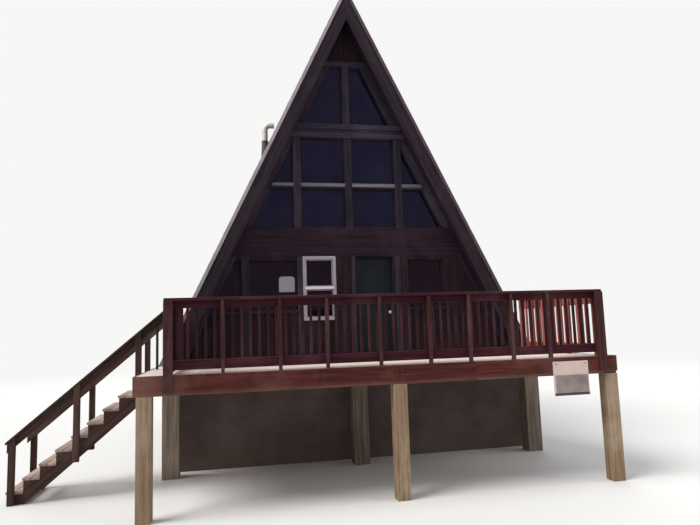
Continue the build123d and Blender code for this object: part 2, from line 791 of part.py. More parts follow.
def railing(side, start, end, face, post_places, board_depth=TOP_BOARD_DEPTH):
    """Posts on the deck, a top board, a bottom rail and balusters behind them, and a cap."""
    board_face = face - RAIL_POST_DEPTH
    baluster_face = board_face - RAIL_BOARD
    inside = baluster_face - BALUSTER
    board_low = CAP_LOW - board_depth
    bottom = level(BOTTOM_RAIL_RISE)
    panel = facing(side, start, end, board_face - RAIL_BOARD, board_face, board_low, CAP_LOW)
    panel += facing(
        side, start, end, board_face - RAIL_BOARD, board_face, bottom, bottom + BOTTOM_RAIL_DEPTH
    )
    panel += facing(side, start, end, inside - CAP_OVERLAP, face + CAP_OVERLAP, CAP_LOW, RAIL_TOP_LEVEL)
    for place in post_places:
        half = RAIL_POST_WIDTH / 2
        panel += facing(side, place - half, place + half, board_face, face, DECK_LEVEL, CAP_LOW)
    count = int((end - start) // BALUSTER_SPACING)
    first = (start + end) / 2 - (count - 1) / 2 * BALUSTER_SPACING
    balusters = [
        facing(
            side, first + number * BALUSTER_SPACING - BALUSTER / 2,
            first + number * BALUSTER_SPACING + BALUSTER / 2, inside, baluster_face, bottom, CAP_LOW,
        )
        for number in range(count)
    ]
    return panel + balusters


def corner_post(place):
    """A front corner post, notched over the fascia."""
    half = CORNER_POST_WIDTH / 2
    outer = DECK_FRONT - CORNER_POST_PROUD
    board_face = DECK_FRONT + RAIL_POST_DEPTH
    post = box(place - half, place + half, outer, board_face, DECK_LEVEL, CAP_LOW)
    lap = box(place - half, place + half, outer, DECK_FRONT, DECK_LEVEL - CORNER_POST_LAP, DECK_LEVEL)
    return post + lap


def front_railing():
    places = []
    place = FRONT_RAIL_START
    for bay in FRONT_RAIL_BAYS[:-1]:
        place += bay * BAY_SCALE
        places.append(place)
    panel = railing("front", -LEFT_FACE, RIGHT_FACE, -DECK_FRONT, places)
    panel += corner_post(FRONT_RAIL_START)
    panel += corner_post(FRONT_RAIL_END)
    return panel


def side_places(start, end):
    """Places of the posts of a side railing, the first and the last flush with its ends."""
    bays = max(1, round((end - start) / SIDE_RAIL_BAY))
    first = start + RAIL_POST_WIDTH / 2
    last = end - RAIL_POST_WIDTH / 2
    return [first + (last - first) * number / bays for number in range(bays + 1)]


def right_railing():
    end = RAKE_FRONT - RAIL_END_GAP
    places = side_places(RAIL_INSIDE, end)
    return railing("right", RAIL_INSIDE, end, RIGHT_FACE, places, RIGHT_BOARD_DEPTH)


def left_railing():
    end = STAIR_NEAR - RAIL_POST_DEPTH
    return railing("left", RAIL_INSIDE, end, LEFT_FACE, side_places(RAIL_INSIDE, end))


# Stairs

def pitch_line(x, rise):
    """Height over x of a line parallel to the stairs' nosings, a rise above them."""
    return DECK_LEVEL + rise + (x - STAIR_TOP_X) * STAIR_PITCH


def stringer(y0, y1):
    """A stringer with a sawtooth upper edge, cut level at the ground and plumb at the deck."""
    points = [(STAIR_TOP_X, pitch_line(STAIR_TOP_X, -STAIR_RISE - TREAD_THICK - STRINGER_THROAT))]
    for step in range(1, STAIR_RISERS):
        seat = DECK_LEVEL - step * STAIR_RISE - TREAD_THICK
        points.append((STAIR_TOP_X - (step - 1) * STAIR_RUN, seat))
        points.append((STAIR_TOP_X - step * STAIR_RUN, seat))
    points.append((STAIR_FOOT_X, 0))
    toe = -STAIR_RISE - TREAD_THICK - STRINGER_THROAT
    points.append((STAIR_TOP_X - (DECK_LEVEL + toe) / STAIR_PITCH, 0))
    return plate(points, y0, y1)


def stair_stringers():
    near = stringer(STAIR_NEAR, STAIR_NEAR + STRINGER_THICK)
    far = stringer(STAIR_FAR - STRINGER_THICK, STAIR_FAR)
    return Compound(children=[near, far])


def stair_treads():
    treads = []
    for step in range(1, STAIR_RISERS):
        x1 = STAIR_TOP_X - (step - 1) * STAIR_RUN
        z1 = DECK_LEVEL - step * STAIR_RISE
        treads.append(box(
            x1 - STAIR_RUN - TREAD_NOSING, x1, STAIR_NEAR, STAIR_FAR, z1 - TREAD_THICK, z1
        ))
    return Compound(children=treads)


def sloped_strip(x0, x1, low, high, y0, y1):
    """A board parallel to the stairs, between two rises above the nosings, with plumb ends."""
    points = [
        (x0, pitch_line(x0, low)),
        (x0, pitch_line(x0, high)),
        (x1, pitch_line(x1, high)),
        (x1, pitch_line(x1, low)),
    ]
    return plate(points, y0, y1)


def stair_rail(board_y0, outward):
    """One raked handrail: cap, board, posts outside the stringer and two balusters on the deck."""
    top_x = STAIR_RAIL_INSET - DECK_HALF
    high = RAIL_RISE - (top_x - STAIR_TOP_X) * STAIR_PITCH
    cap_low = high - HANDRAIL_CAP
    board_low = cap_low - HANDRAIL_BOARD
    end_x = STAIR_FOOT_X - TREAD_NOSING
    board_y1 = board_y0 + STRINGER_THICK
    post_y = (board_y1, board_y1 + RAIL_POST_DEPTH)
    if outward < 0:
        post_y = (board_y0 - RAIL_POST_DEPTH, board_y0)
    cap_y = (min(board_y0, post_y[0]) - CAP_OVERLAP, max(board_y1, post_y[1]) + CAP_OVERLAP)
    rail = sloped_strip(end_x, top_x, board_low, cap_low, board_y0, board_y1)
    rail += sloped_strip(end_x, top_x - CAP_OVERLAP, cap_low, high, *cap_y)
    rail += box(top_x, top_x + STAIR_POST_WIDTH, *post_y, DECK_LEVEL, RAIL_TOP_LEVEL)
    rail += box(top_x, top_x + STAIR_POST_WIDTH, board_y0, board_y1, DECK_LEVEL, RAIL_TOP_LEVEL)
    for steps in STAIR_POST_STEPS:
        x = STAIR_TOP_X - steps * STAIR_RUN
        x0 = x - STAIR_POST_WIDTH / 2
        x1 = x + STAIR_POST_WIDTH / 2
        foot = max(0, pitch_line(x0, -STAIR_RISE - TREAD_THICK - STRINGER_THROAT))
        points = [(x0, foot), (x0, pitch_line(x0, cap_low)), (x1, pitch_line(x1, cap_low)), (x1, foot)]
        rail += plate(points, *post_y)
    for gap in STAIR_BALUSTERS:
        x1 = top_x - gap
        x0 = x1 - BALUSTER
        points = [
            (x0, DECK_LEVEL),
            (x0, pitch_line(x0, board_low)),
            (x1, pitch_line(x1, board_low)),
            (x1, DECK_LEVEL),
        ]
        rail += plate(points, board_y0, board_y1)
    return rail


def stair_rails():
    near = stair_rail(STAIR_NEAR, -1)
    far = stair_rail(STAIR_FAR - STRINGER_THICK, 1)
    return Compound(children=[near, far])


# Fittings

def sign_board():
    """A bare board hung on the front fascia."""
    x1 = DECK_HALF - SIGN_INSET
    z1 = DECK_LEVEL - SIGN_TOP
    return box(x1 - SIGN_WIDTH, x1, DECK_FRONT - SIGN_THICK, DECK_FRONT, z1 - SIGN_HEIGHT, z1)


def window_notice():
    """A bare white card with a rounded top, fixed on the big window's pane."""
    y1 = -GLASS_THICK / 2
    z0 = level(NOTICE_RISE)
    card = box(NOTICE_LEFT, NOTICE_LEFT + NOTICE_WIDTH, y1 - NOTICE_THICK, y1, z0, z0 + NOTICE_HEIGHT)
    top_edges = card.edges().filter_by(Axis.Y).group_by(Axis.Z)[-1]
    return fillet(top_edges, NOTICE_ROUNDING)


def vent_pipe():
    """A round metal pipe with an elbow, on a flange that lies on the left roof slope."""
    x, y = VENT_PLACE
    foot = level(rise_at(-x))
    bend = level(VENT_RISE)
    path = Polyline((x, y, foot - VENT_FLANGE), (x, y, bend))
    elbow = RadiusArc((x, y, bend), (x + VENT_BEND, y, bend + VENT_BEND), VENT_BEND)
    outlet = Line((x + VENT_BEND, y, bend + VENT_BEND), (x + VENT_BEND + VENT_OUTLET, y, bend + VENT_BEND))
    section = Plane(origin=path @ 0, z_dir=path % 0) * Circle(VENT_RADIUS)
    pipe = sweep(section, path=path + elbow + outlet)
    flange = Pos(x, y, foot) * Rot(0, -math.degrees(math.pi / 2 - LEAN), 0) * Box(
        2 * VENT_FLANGE, 2 * VENT_FLANGE, 2 * FLASHING_THICK
    )
    return (pipe + flange - roof(-1)).solids().sort_by(Axis.Z)[-1]


NODES = {
    "foundation_front": foundation_front(),
    "foundation_back": foundation_back(),
    "foundation_sides": foundation_sides(),
    "main_floor": main_floor(),
    "upper_floor": upper_floor(),
    "roof_left": roof(-1),
    "roof_right": roof(1),
    "front_rake_boards": rake_boards(RAKE_FRONT, ROOF_FRONT),
    "back_rake_boards": rake_boards(ROOF_BACK, RAKE_BACK),
    "left_edge_flashings": edge_flashings(-1),
    "right_edge_flashings": edge_flashings(1),
    "ridge_cap": ridge_cap(),
    "front_wall_left": front_wall_left(),
    "front_wall_right": front_wall_right(),
    "ground_floor_glass": ground_floor_glass(),
    "window_sills": window_sills(),
    "white_window_frame": white_frame(),
    "floor_band": floor_band(),
    "upper_posts": upper_posts(),
    "gable_studs": gable_studs(),
    "window_rail": window_rail(),
    "collar_beams": collar_beams(),
    "peak_panel": peak_panel(),
    "gable_glass": gable_glass(),
    "door_jambs": door_jambs(),
    "door_head": door_head(),
    "threshold": threshold(),
    "entry_door": entry_door(),
    "door_knob": door_knob(),
    "door_hinges": door_hinges(),
    "back_wall_lower": back_wall_lower(),
    "back_band": back_band(),
    "back_wall_upper": back_wall_upper(),
    "back_window_frames": back_frames(),
    "back_glass": back_glass(),
    "deck_boards": deck_boards(),
    "front_fascia": front_fascia(),
    "side_fascias": side_fascias(),
    "deck_beams": deck_beams(),
    "deck_joists": deck_joists(),
    "front_posts": front_posts(),
    "rear_posts": rear_posts(),
    "front_railing": front_railing(),
    "right_railing": right_railing(),
    "left_railing": left_railing(),
    "stair_stringers": stair_stringers(),
    "stair_treads": stair_treads(),
    "stair_rails": stair_rails(),
    "sign_board": sign_board(),
    "window_notice": window_notice(),
    "vent_pipe": vent_pipe(),
}

os.makedirs("parts", exist_ok=True)
for name, shape in NODES.items():
    export_step(shape, f"parts/{name}.step")
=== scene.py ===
import math
import random

import bmesh
import bpy
from mathutils import Matrix, Vector


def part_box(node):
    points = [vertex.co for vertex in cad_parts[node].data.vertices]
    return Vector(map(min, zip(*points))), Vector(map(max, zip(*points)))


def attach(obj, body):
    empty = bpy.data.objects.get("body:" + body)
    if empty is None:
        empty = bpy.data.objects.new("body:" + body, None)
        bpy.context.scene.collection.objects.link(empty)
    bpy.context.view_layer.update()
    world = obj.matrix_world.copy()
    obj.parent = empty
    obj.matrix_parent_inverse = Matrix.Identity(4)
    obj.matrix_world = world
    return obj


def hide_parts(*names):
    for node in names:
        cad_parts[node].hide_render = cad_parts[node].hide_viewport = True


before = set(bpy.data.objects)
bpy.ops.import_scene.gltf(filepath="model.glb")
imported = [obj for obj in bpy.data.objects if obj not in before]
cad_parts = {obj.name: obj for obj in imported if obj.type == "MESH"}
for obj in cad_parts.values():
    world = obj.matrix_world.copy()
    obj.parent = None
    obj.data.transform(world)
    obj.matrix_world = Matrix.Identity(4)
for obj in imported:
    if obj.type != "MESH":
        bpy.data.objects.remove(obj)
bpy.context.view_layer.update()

# Places read from the frame, in metres
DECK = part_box("deck_boards")[1].z
WALL_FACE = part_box("front_wall_left")[0].y
BACK_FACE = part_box("back_wall_lower")[1].y
BAND_LOW, BAND_TOP = (corner.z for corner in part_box("floor_band"))
ROOF_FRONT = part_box("roof_right")[0].y
ROOF_HALF, ROOF_BACK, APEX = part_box("roof_right")[1]
SLOPE = ROOF_HALF / (APEX - DECK)
LEAN = math.atan(SLOPE)
ROOF_INSET = (APEX - BAND_LOW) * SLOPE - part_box("floor_band")[1].x
OPENING_INSET = (APEX - BAND_TOP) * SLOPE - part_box("gable_glass")[1].x
DECK_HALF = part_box("front_fascia")[1].x
DECK_FRONT, FASCIA_BACK = (corner.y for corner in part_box("front_fascia"))
FASCIA_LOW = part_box("front_fascia")[0].z
DOOR_LEFT, DOOR_RIGHT = (corner.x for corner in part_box("door_jambs"))

# Cladding, trim and beads, each a little way into what carries it
SINK = 0.0005
BOARD_WIDTH = 0.15
BOARD_GAP = 0.006
BOARD_THICK = 0.016
LEAST_BOARD_LENGTH = 0.01
LEAST_BOARD_AREA = 0.0008
PEAK_RECESS = 0.025
TRIM_THICK = 0.02
DOOR_TRIM_PROUD = 0.002
DOOR_TRIM_RIGHT = (0.005, 0.125)
DOOR_TRIM_LEFT = (-0.075, -0.005)
GABLE_BEAD = 0.028
GROUND_BEAD = 0.032
BACK_BEAD = 0.022
BEAD_DEPTH = 0.035
INSIDE_BEAD_DEPTH = 0.03
PALE_RAIL_DEPTH = 0.068
DARK_RAIL_GAP = 0.002
DARK_RAIL_BACK = 0.012

# White window
SASH_WIDTH = 0.018
SASH_BACK = 0.045
MEETING_RAIL_PROUD = 0.006
MEETING_RAIL_DEPTH = 0.03
MEETING_RAIL_HALF = 0.024

# Roofing
COURSE = 0.225
COURSE_LAP = 0.03
SHINGLE_WIDTHS = (0.11, 0.30)
SHINGLE_LEAST = 0.06
SHINGLE_GAP = 0.006
SHINGLE_UNEVEN = 0.006
SHINGLE_BUTT = 0.022
SHINGLE_BUTT_SPREAD = (-0.002, 0.004)
SHINGLE_HEAD = 0.005
ROOF_END_GAP = 0.004
SOFFIT_BOARDS = 3
SOFFIT_GAP = 0.004
SOFFIT_THICK = 0.014
SOFFIT_FOOT_GAP = 0.003
SOFFIT_TOP_GAP = 0.05
RIDGE_SCREW_PITCH = 0.45
RIDGE_SCREW_START = 0.2
RIDGE_SCREW_INSET = 0.03

# Vent
VENT_X = -1.64
VENT_RISE = 4.92
VENT_RADIUS = 0.062
VENT_WALL = 0.004
VENT_BEND = 0.11
VENT_OUTLET = 0.09
VENT_SUNK = 0.06
VENT_PLATE = 0.17
VENT_PLATE_LIFT = 0.006
VENT_PLATE_LIP = 0.004
VENT_BOOT = 0.47
VENT_BOOT_FLARE = 0.03
VENT_BOOT_PLAY = 0.004
VENT_JOINT_DROP = 0.05
VENT_CLAMP_DROP = 0.03
VENT_FACETS = 28

# Floors and deck
DECK_BOARD_PITCH = 0.146
DECK_BOARD_GAP = 0.007
DECK_BOARD_WEAR = 0.0015
BOARD_END_GAP = 0.001
DECK_BUTT_GAP = 0.0015
NAIL_SHARES = (0.25, 0.75)
NAIL_STEP = 0.012
NAIL_HEAD = 0.0012
FASCIA_JOINTS = (-0.033, 1.295)
FASCIA_RIGHT_LIFT = 0.035
JOINT_NAIL_STEP = 0.035
JOIST_NAIL_STEP = 0.02
POST_BOLT_SHARES = (0.3, 0.7)
TOP_BOARD_BOLT = 0.075
BOTTOM_RAIL_BOLTS = (0.05, 0.10)

# Heads on the fascia, up from its lower edge or, below 0, down from the deck
POST_BOLT_LEVELS = (0.07, -0.08)
JOINT_NAIL_LEVELS = (0.06, 0.14, -0.05)
JOIST_NAIL_LEVELS = (0.12, -0.04)

# Railings, as in the frame's railing nodes
CAP_THICK = 0.038
CAP_OVERLAP = 0.012
RAIL_POST_WIDTH = 0.048
RAIL_POST_DEPTH = 0.07
CORNER_POST_WIDTH = 0.126
CORNER_POST_LAP = 0.24
TOP_BOARD_DEPTH = 0.105
RIGHT_BOARD_DEPTH = 0.19
BOTTOM_RAIL_RISE = 0.06
BOTTOM_RAIL_DEPTH = 0.14
RAIL_BOARD = 0.038
BALUSTER = 0.038
BALUSTER_SPACING = 0.126
FRONT_RAIL_BAYS = (0.744, 0.811, 0.688, 0.802, 0.776, 0.642, 0.709, 0.628, 0.884)
SIDE_RAIL_BAY = 0.83

# Stairs, as in the frame's stair nodes
STAIR_POST_WIDTH = 0.092
HANDRAIL_BOARD = 0.14
STRINGER_THROAT = 0.18
TREAD_THICK = 0.038
TREAD_GAP = 0.008
STAIR_POST_STEPS = (0.7, 4.7, 8.7)
STAIR_BALUSTERS = (0.09, 0.215)

# Door and sign
DOOR_STILE = 0.11
MOULDING_WIDTH = 0.022
MOULDING_PROUD = 0.003
MOULDING_DEPTH = 0.0105
HINGE_LEAF = 0.003
HINGE_SCREW_INSET = 0.012
HINGE_SCREW_SHARES = (0.2, 0.5, 0.8)
SIGN_PALE_SHARE = 0.4
SIGN_PROUD = 0.003
SIGN_FIELD_THICK = 0.004
SIGN_FIELD_LEFT = 0.03
SIGN_FIELD_RIGHT = 0.02
SIGN_FIELD_RISE = 0.05
SIGN_FOOT_INSET = 0.005
SIGN_FOOT_RISE = 0.004
SIGN_FOOT_TOP = 0.045
SIGN_SCREW_INSET = 0.05
SIGN_SCREW_DROP = 0.04

# The photograph's camera, solved from the cabin's straight lines, with its focal length in pixels
CAMERA_PLACE = Vector((-2.320, -11.605, 2.491))
CAMERA_YAW = 0.197
CAMERA_PITCH = 0.115
CAMERA_ROLL = -0.033
CAMERA_FOCAL = 584
PHOTO_WIDTH = 700
SENSOR_WIDTH = 36

# Directions
RIGHT = Vector((1, 0, 0))
BACK = Vector((0, 1, 0))
UP = Vector((0, 0, 1))


# Outlines and meshes

def half_at(z, inset=0.0):
    """Half the cabin's width at a height, inset from the roof's outer face."""
    return (APEX - z) * SLOPE - inset


def sides(points):
    """Each point of a closed outline with the one after it."""
    return zip(points, [*points[1:], *points[:1]])


def under_slopes(points, inset):
    """The part of a convex outline (x, z) between the roof slopes, inset from the roof's outer faces."""
    for side in (1, -1):
        kept = []
        for point, after in sides(points):
            here, there = (side * x - half_at(z, inset) for x, z in (point, after))
            if here <= 0:
                kept.append(point)
            if here * there < 0:
                share = here / (here - there)
                kept.append(tuple(start + (end - start) * share for start, end in zip(point, after)))
        points = kept
    return points


def shrunk(points, margin):
    """A convex outline with each side moved inwards by a margin."""
    centre = sum((Vector(p) for p in points), Vector((0, 0))) / len(points)
    lines = []
    for point, after in sides(points):
        start = Vector(point)
        along = (Vector(after) - start).normalized()
        normal = Vector((-along.y, along.x))
        if normal.dot(centre - start) < 0:
            normal = -normal
        lines.append((start + normal * margin, along))
    corners = []
    for number, (start, along) in enumerate(lines):
        before, before_along = lines[number - 1]
        cross = before_along.x * along.y - before_along.y * along.x
        gap = start - before
        step = (gap.x * along.y - gap.y * along.x) / cross
        corners.append(tuple(before + before_along * step))
    return corners


def area(points):
    return abs(sum(x0 * z1 - x1 * z0 for (x0, z0), (x1, z1) in sides(points))) / 2


def between(points, x0, x1):
    """Whether a whole outline (x, z) lies between two places."""
    return all(x0 < x < x1 for x, z in points)


def rectangle(x0, x1, z0, z1):
    return [(x0, z0), (x1, z0), (x1, z1), (x0, z1)]


def rows(start, end, count, gap):
    """Equal stretches between two places, each (start, end), with half a gap at both ends."""
    for number in range(count):
        here = start + (end - start) * number / count
        there = start + (end - start) * (number + 1) / count
        yield here + gap / 2, there - gap / 2


def prism(mesh, outline, depth):
    """A straight prism in a mesh: an outline of points, pushed along a depth vector."""
    near = [mesh.verts.new(Vector(point)) for point in outline]
    far = [mesh.verts.new(Vector(point) + depth) for point in outline]
    faces = [mesh.faces.new(near), mesh.faces.new(far[::-1])]
    for (near_start, near_end), (far_start, far_end) in zip(sides(near), sides(far)):
        faces.append(mesh.faces.new((near_end, near_start, far_start, far_end)))
    bmesh.ops.recalc_face_normals(mesh, faces=faces)


def upright(mesh, outline, y0, y1):
    """A plate with an outline of points (x, z), from y0 to y1."""
    prism(mesh, [(x, y0, z) for x, z in outline], BACK * (y1 - y0))


def block(mesh, x0, x1, y0, y1, z0, z1):
    upright(mesh, rectangle(x0, x1, z0, z1), y0, y1)


def mitred_frame(mesh, outline, width, y0, y1):
    """Mitred lengths just inside an outline (x, z), one for each side."""
    for (start, end), (inner_start, inner_end) in zip(sides(outline), sides(shrunk(outline, width))):
        upright(mesh, [start, end, inner_end, inner_start], y0, y1)


def circle(mesh, centre, right, up, radius, count):
    """A circle of vertices round a centre, in the plane of two directions."""
    vertices = []
    for number in range(count):
        turn = 2 * math.pi * number / count
        vertices.append(mesh.verts.new(centre + (right * math.cos(turn) + up * math.sin(turn)) * radius))
    return vertices


def skin(mesh, loops, caps=(), closed=False):
    """Faces from each loop of vertices to the next, with a cap on some of the loops."""
    faces = [mesh.faces.new(loops[number]) for number in caps]
    for first, second in zip(loops, loops[1:] + loops[:1] if closed else loops[1:]):
        for (start, end), (next_start, next_end) in zip(sides(first), sides(second)):
            faces.append(mesh.faces.new((start, end, next_end, next_start)))
    bmesh.ops.recalc_face_normals(mesh, faces=faces)


def turned(mesh, place, normal, stations, count, **ends):
    """A round form about a normal, with a circle at each station (radius, distance along the normal)."""
    right = normal.orthogonal().normalized()
    up = normal.cross(right).normalized()
    loops = [circle(mesh, place + normal * step, right, up, radius, count) for radius, step in stations]
    skin(mesh, loops, **ends)


def dome(mesh, place, normal, radius, height, count=8):
    """A low domed head of a nail, a screw or a bolt."""
    stations = ((radius, -0.001), (radius, height * 0.35), (radius * 0.62, height))
    turned(mesh, place, normal, stations, count, caps=(0, 2))


def islands(mesh):
    """The connected parts of a mesh, as lists of its vertices."""
    mesh.verts.index_update()
    seen = set()
    parts = []
    for first in mesh.verts:
        if first.index in seen:
            continue
        seen.add(first.index)
        part = []
        waiting = [first]
        while waiting:
            vertex = waiting.pop()
            part.append(vertex)
            for edge in vertex.link_edges:
                other = edge.other_vert(vertex)
                if other.index not in seen:
                    seen.add(other.index)
                    waiting.append(other)
        parts.append(part)
    return parts


# Shapes read from the frame

def plain_copy(node):
    """A mesh with the node's shape, its flat faces whole."""
    mesh = bmesh.new()
    mesh.from_mesh(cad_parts[node].data)
    bmesh.ops.remove_doubles(mesh, verts=mesh.verts, dist=0.00002)
    bmesh.ops.dissolve_limit(
        mesh, angle_limit=math.radians(1), verts=mesh.verts, edges=mesh.edges, use_dissolve_boundaries=False
    )
    return mesh


def solid_boxes(node):
    """The lowest and highest corner of each solid of a node, from left to right."""
    mesh = plain_copy(node)
    boxes = []
    for part in islands(mesh):
        low = Vector([min(v.co[axis] for v in part) for axis in range(3)])
        high = Vector([max(v.co[axis] for v in part) for axis in range(3)])
        boxes.append((low, high))
    mesh.free()
    return sorted(boxes, key=lambda box: (round(box[0].x, 3), box[0].z))


def pane_outlines(node):
    """The outline (x, z) of each pane of a glass node, seen from the front."""
    mesh = plain_copy(node)
    outlines = []
    for part in islands(mesh):
        faces = [face for vertex in part for face in vertex.link_faces if abs(face.normal.y) > 0.99]
        front = min(faces, key=lambda face: face.calc_center_median().y)
        outlines.append([(loop.vert.co.x, loop.vert.co.z) for loop in front.loops])
    mesh.free()
    return outlines


def joist_lines():
    """The middle of each deck joist, from left to right."""
    return [(low.x + high.x) / 2 for low, high in solid_boxes("deck_joists")]


# Pieces

def add_piece(name, mesh, material, slot, body="cabin", stands_for=(), smooth=False):
    """A mesh as a piece that rides on a body and stands for CAD nodes."""
    data = bpy.data.meshes.new(name)
    mesh.to_mesh(data)
    mesh.free()
    if smooth:
        data.shade_smooth()
        data.set_sharp_from_angle(angle=math.radians(40))
    data.materials.append(material)
    piece = bpy.data.objects.new(name, data)
    bpy.context.scene.collection.objects.link(piece)
    if stands_for:
        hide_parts(*stands_for)
    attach(piece, body)


def timber(name, mesh, material, slot, seed, soften=0.004, **riding):
    """A piece of timbers: softened edges, and a grain direction and a tone for each timber."""
    worn = mesh.faces.layers.float.new("worn")
    if soften:
        sharp = [
            edge for edge in mesh.edges
            if len(edge.link_faces) == 2 and edge.calc_face_angle(0) > math.radians(20)
        ]
        new = bmesh.ops.bevel(mesh, geom=sharp, offset=soften, segments=1, affect="EDGES", clamp_overlap=True)
        for face in new["faces"]:
            face[worn] = 1.0
    grain = mesh.verts.layers.float_vector.new("grain")
    tone = mesh.verts.layers.float.new("tone")
    chance = random.Random(seed)
    for part in islands(mesh):
        edges = [edge for vertex in part for edge in vertex.link_edges]
        faces = [face for vertex in part for face in vertex.link_faces]
        longest = max(edges, key=lambda edge: edge.calc_length())
        along = (longest.verts[1].co - longest.verts[0].co).normalized()
        flat = max(faces, key=lambda face: face.calc_area()).normal
        across = along.cross(flat)
        if across.length < 0.1:
            across = along.orthogonal()
        across.normalize()
        through = along.cross(across)
        origin = part[0].co
        shift = Vector([chance.uniform(0, 40) for axis in range(3)])
        shade = chance.random()
        for vertex in part:
            reach = vertex.co - origin
            vertex[grain] = Vector((reach.dot(along), reach.dot(across), reach.dot(through))) + shift
            vertex[tone] = shade
    add_piece(name, mesh, material, slot, **riding)


def dressed(node, material, slot, seed, soften=0.004):
    """A node's own shape with softened edges and a grain, in the node's place."""
    timber(node + "_timber", plain_copy(node), material, slot, seed, soften, stands_for=(node,))


# Shader nodes

def feed(node, inputs):
    """Each input of a node from a value, a colour of three numbers or another node's output."""
    for key, value in inputs.items():
        socket = node.inputs[key]
        if isinstance(value, bpy.types.NodeSocket):
            node.id_data.links.new(value, socket)
        elif socket.type == "RGBA":
            socket.default_value = (*value, 1)
        else:
            socket.default_value = value


def add(tree, kind, inputs=None, **settings):
    """A new shader node with its settings and inputs."""
    made = tree.nodes.new(kind)
    for key, value in settings.items():
        setattr(made, key, value)
    feed(made, inputs or {})
    return made


def new_material(name):
    """A material, its nodes and the place on the object."""
    material = bpy.data.materials.new(name)
    material.use_nodes = True
    tree = material.node_tree
    return material, tree, add(tree, "ShaderNodeTexCoord").outputs["Object"]


def surface(tree, inputs):
    """The inputs of the material's own shader."""
    feed(tree.nodes["Principled BSDF"], inputs)


def attribute(tree, name, output="Fac"):
    return add(tree, "ShaderNodeAttribute", attribute_name=name).outputs[output]


def component(vector, axis):
    return add(vector.id_data, "ShaderNodeSeparateXYZ", {0: vector}).outputs[axis]


def facing_up(tree):
    """How far a face looks up, from -1 to 1."""
    return component(add(tree, "ShaderNodeNewGeometry").outputs["Normal"], 2)


def stretched(vector, axis, along, across):
    """A place scaled by one number along an axis and by another across it."""
    scale = [along if number == axis else across for number in range(3)]
    return add(vector.id_data, "ShaderNodeMapping", {0: vector, 3: scale}).outputs[0]


def noise(vector, scale, detail, rough):
    inputs = {"Vector": vector, "Scale": scale, "Detail": detail, "Roughness": rough}
    return add(vector.id_data, "ShaderNodeTexNoise", inputs).outputs[0]


def spread(value, low, high, to_low=0.0, to_high=1.0):
    """A value taken from one range to another, and kept in it."""
    inputs = {0: value, 1: low, 2: high, 3: to_low, 4: to_high}
    return add(value.id_data, "ShaderNodeMapRange", inputs).outputs[0]


def mixed(share, first, second):
    """A share of the second colour over the first."""
    return add(share.id_data, "ShaderNodeMix", {0: share, 6: first, 7: second}, data_type="RGBA").outputs[2]


def maths(operation, first, second=0):
    return add(first.id_data, "ShaderNodeMath", {0: first, 1: second}, operation=operation).outputs[0]


def dimmed(colour, level):
    """A colour times a level."""
    tree = level.id_data
    grey = add(tree, "ShaderNodeCombineColor", {0: level, 1: level, 2: level}).outputs[0]
    inputs = {0: 1.0, 6: colour, 7: grey}
    return add(tree, "ShaderNodeMix", inputs, data_type="RGBA", blend_type="MULTIPLY").outputs[2]


def seam_at(value, start, end):
    """1 close to whole values and 0 elsewhere, with start and end as distances from halfway between two."""
    part = maths("SUBTRACT", maths("FRACT", value), 0.5)
    return spread(maths("ABSOLUTE", part), start, end)


def bump(height, strength, distance):
    inputs = {"Height": height, "Strength": strength, "Distance": distance}
    return add(height.id_data, "ShaderNodeBump", inputs).outputs[0]


# Kinds of material

def wood(
    name, dark, base, pale, fade=0.35, weather=0.4, axis=None, streaks=20.0, tones=(0.74, 1.24), painted_highlights=(),
):
    """Stained or bare timber: streaks along the grain, a tone for each board, faded tops, worn edges.

    The grain is that of each timber, or runs along an axis. Each painted highlight is (axis, start, end,
    share): a band of painted light, paler by nothing at the start and by the share at the end.
    """
    material, tree, place = new_material(name)
    grain, along = place, axis
    if axis is None:
        grain, along = attribute(tree, "grain", "Vector"), 0
    streak = noise(stretched(grain, along, 1.0, streaks), scale=1.0, detail=6.0, rough=0.62)
    fibre = noise(stretched(grain, along, 4.0, 150.0), scale=1.0, detail=3.0, rough=0.55)
    blotch = noise(place, scale=1.3, detail=5.0, rough=0.6)
    colour = mixed(spread(streak, 0.36, 0.62), dark, base)
    colour = mixed(spread(blotch, 0.5, 0.75, 0, weather), colour, pale)
    colour = mixed(spread(facing_up(tree), 0.35, 0.95, 0, fade), colour, pale)
    if axis is None:
        rubbed = maths("MULTIPLY", attribute(tree, "worn"), spread(blotch, 0.35, 0.6, 0.1, 0.5))
        colour = mixed(rubbed, colour, pale)
        colour = dimmed(colour, spread(attribute(tree, "tone"), 0, 1, *tones))
    # Painted light: each painted highlight pales a band of the timber towards its pale colour.
    for side, start, end, share in painted_highlights:
        amount = spread(component(place, side), start, end, 0, share)
        amount = maths("MULTIPLY", amount, spread(streak, 0.3, 0.6, 0.6, 1.0))
        colour = mixed(amount, colour, pale)
    height = maths("ADD", maths("MULTIPLY", streak, 0.7), maths("MULTIPLY", fibre, 0.3))
    surface(tree, {
        "Base Color": dimmed(colour, spread(fibre, 0.3, 0.7, 0.86, 1.1)),
        "Roughness": spread(streak, 0.3, 0.7, 0.60, 0.82),
        "Specular IOR Level": 0.1,
        "Normal": bump(height, strength=0.45, distance=0.004),
    })
    return material


def metal(name, base, dull, rough, metallic):
    """Sheet metal with soft stains and a faint ripple."""
    material, tree, place = new_material(name)
    stain = noise(stretched(place, 2, 0.8, 3.0), scale=2.0, detail=6.0, rough=0.65)
    grit = noise(place, scale=90.0, detail=3.0, rough=0.5)
    height = maths("ADD", stain, maths("MULTIPLY", grit, 0.1))
    surface(tree, {
        "Base Color": mixed(spread(stain, 0.42, 0.7), base, dull),
        "Roughness": spread(grit, 0.3, 0.7, rough - 0.08, rough + 0.1),
        "Metallic": metallic,
        "Normal": bump(height, strength=0.2, distance=0.004),
    })
    return material


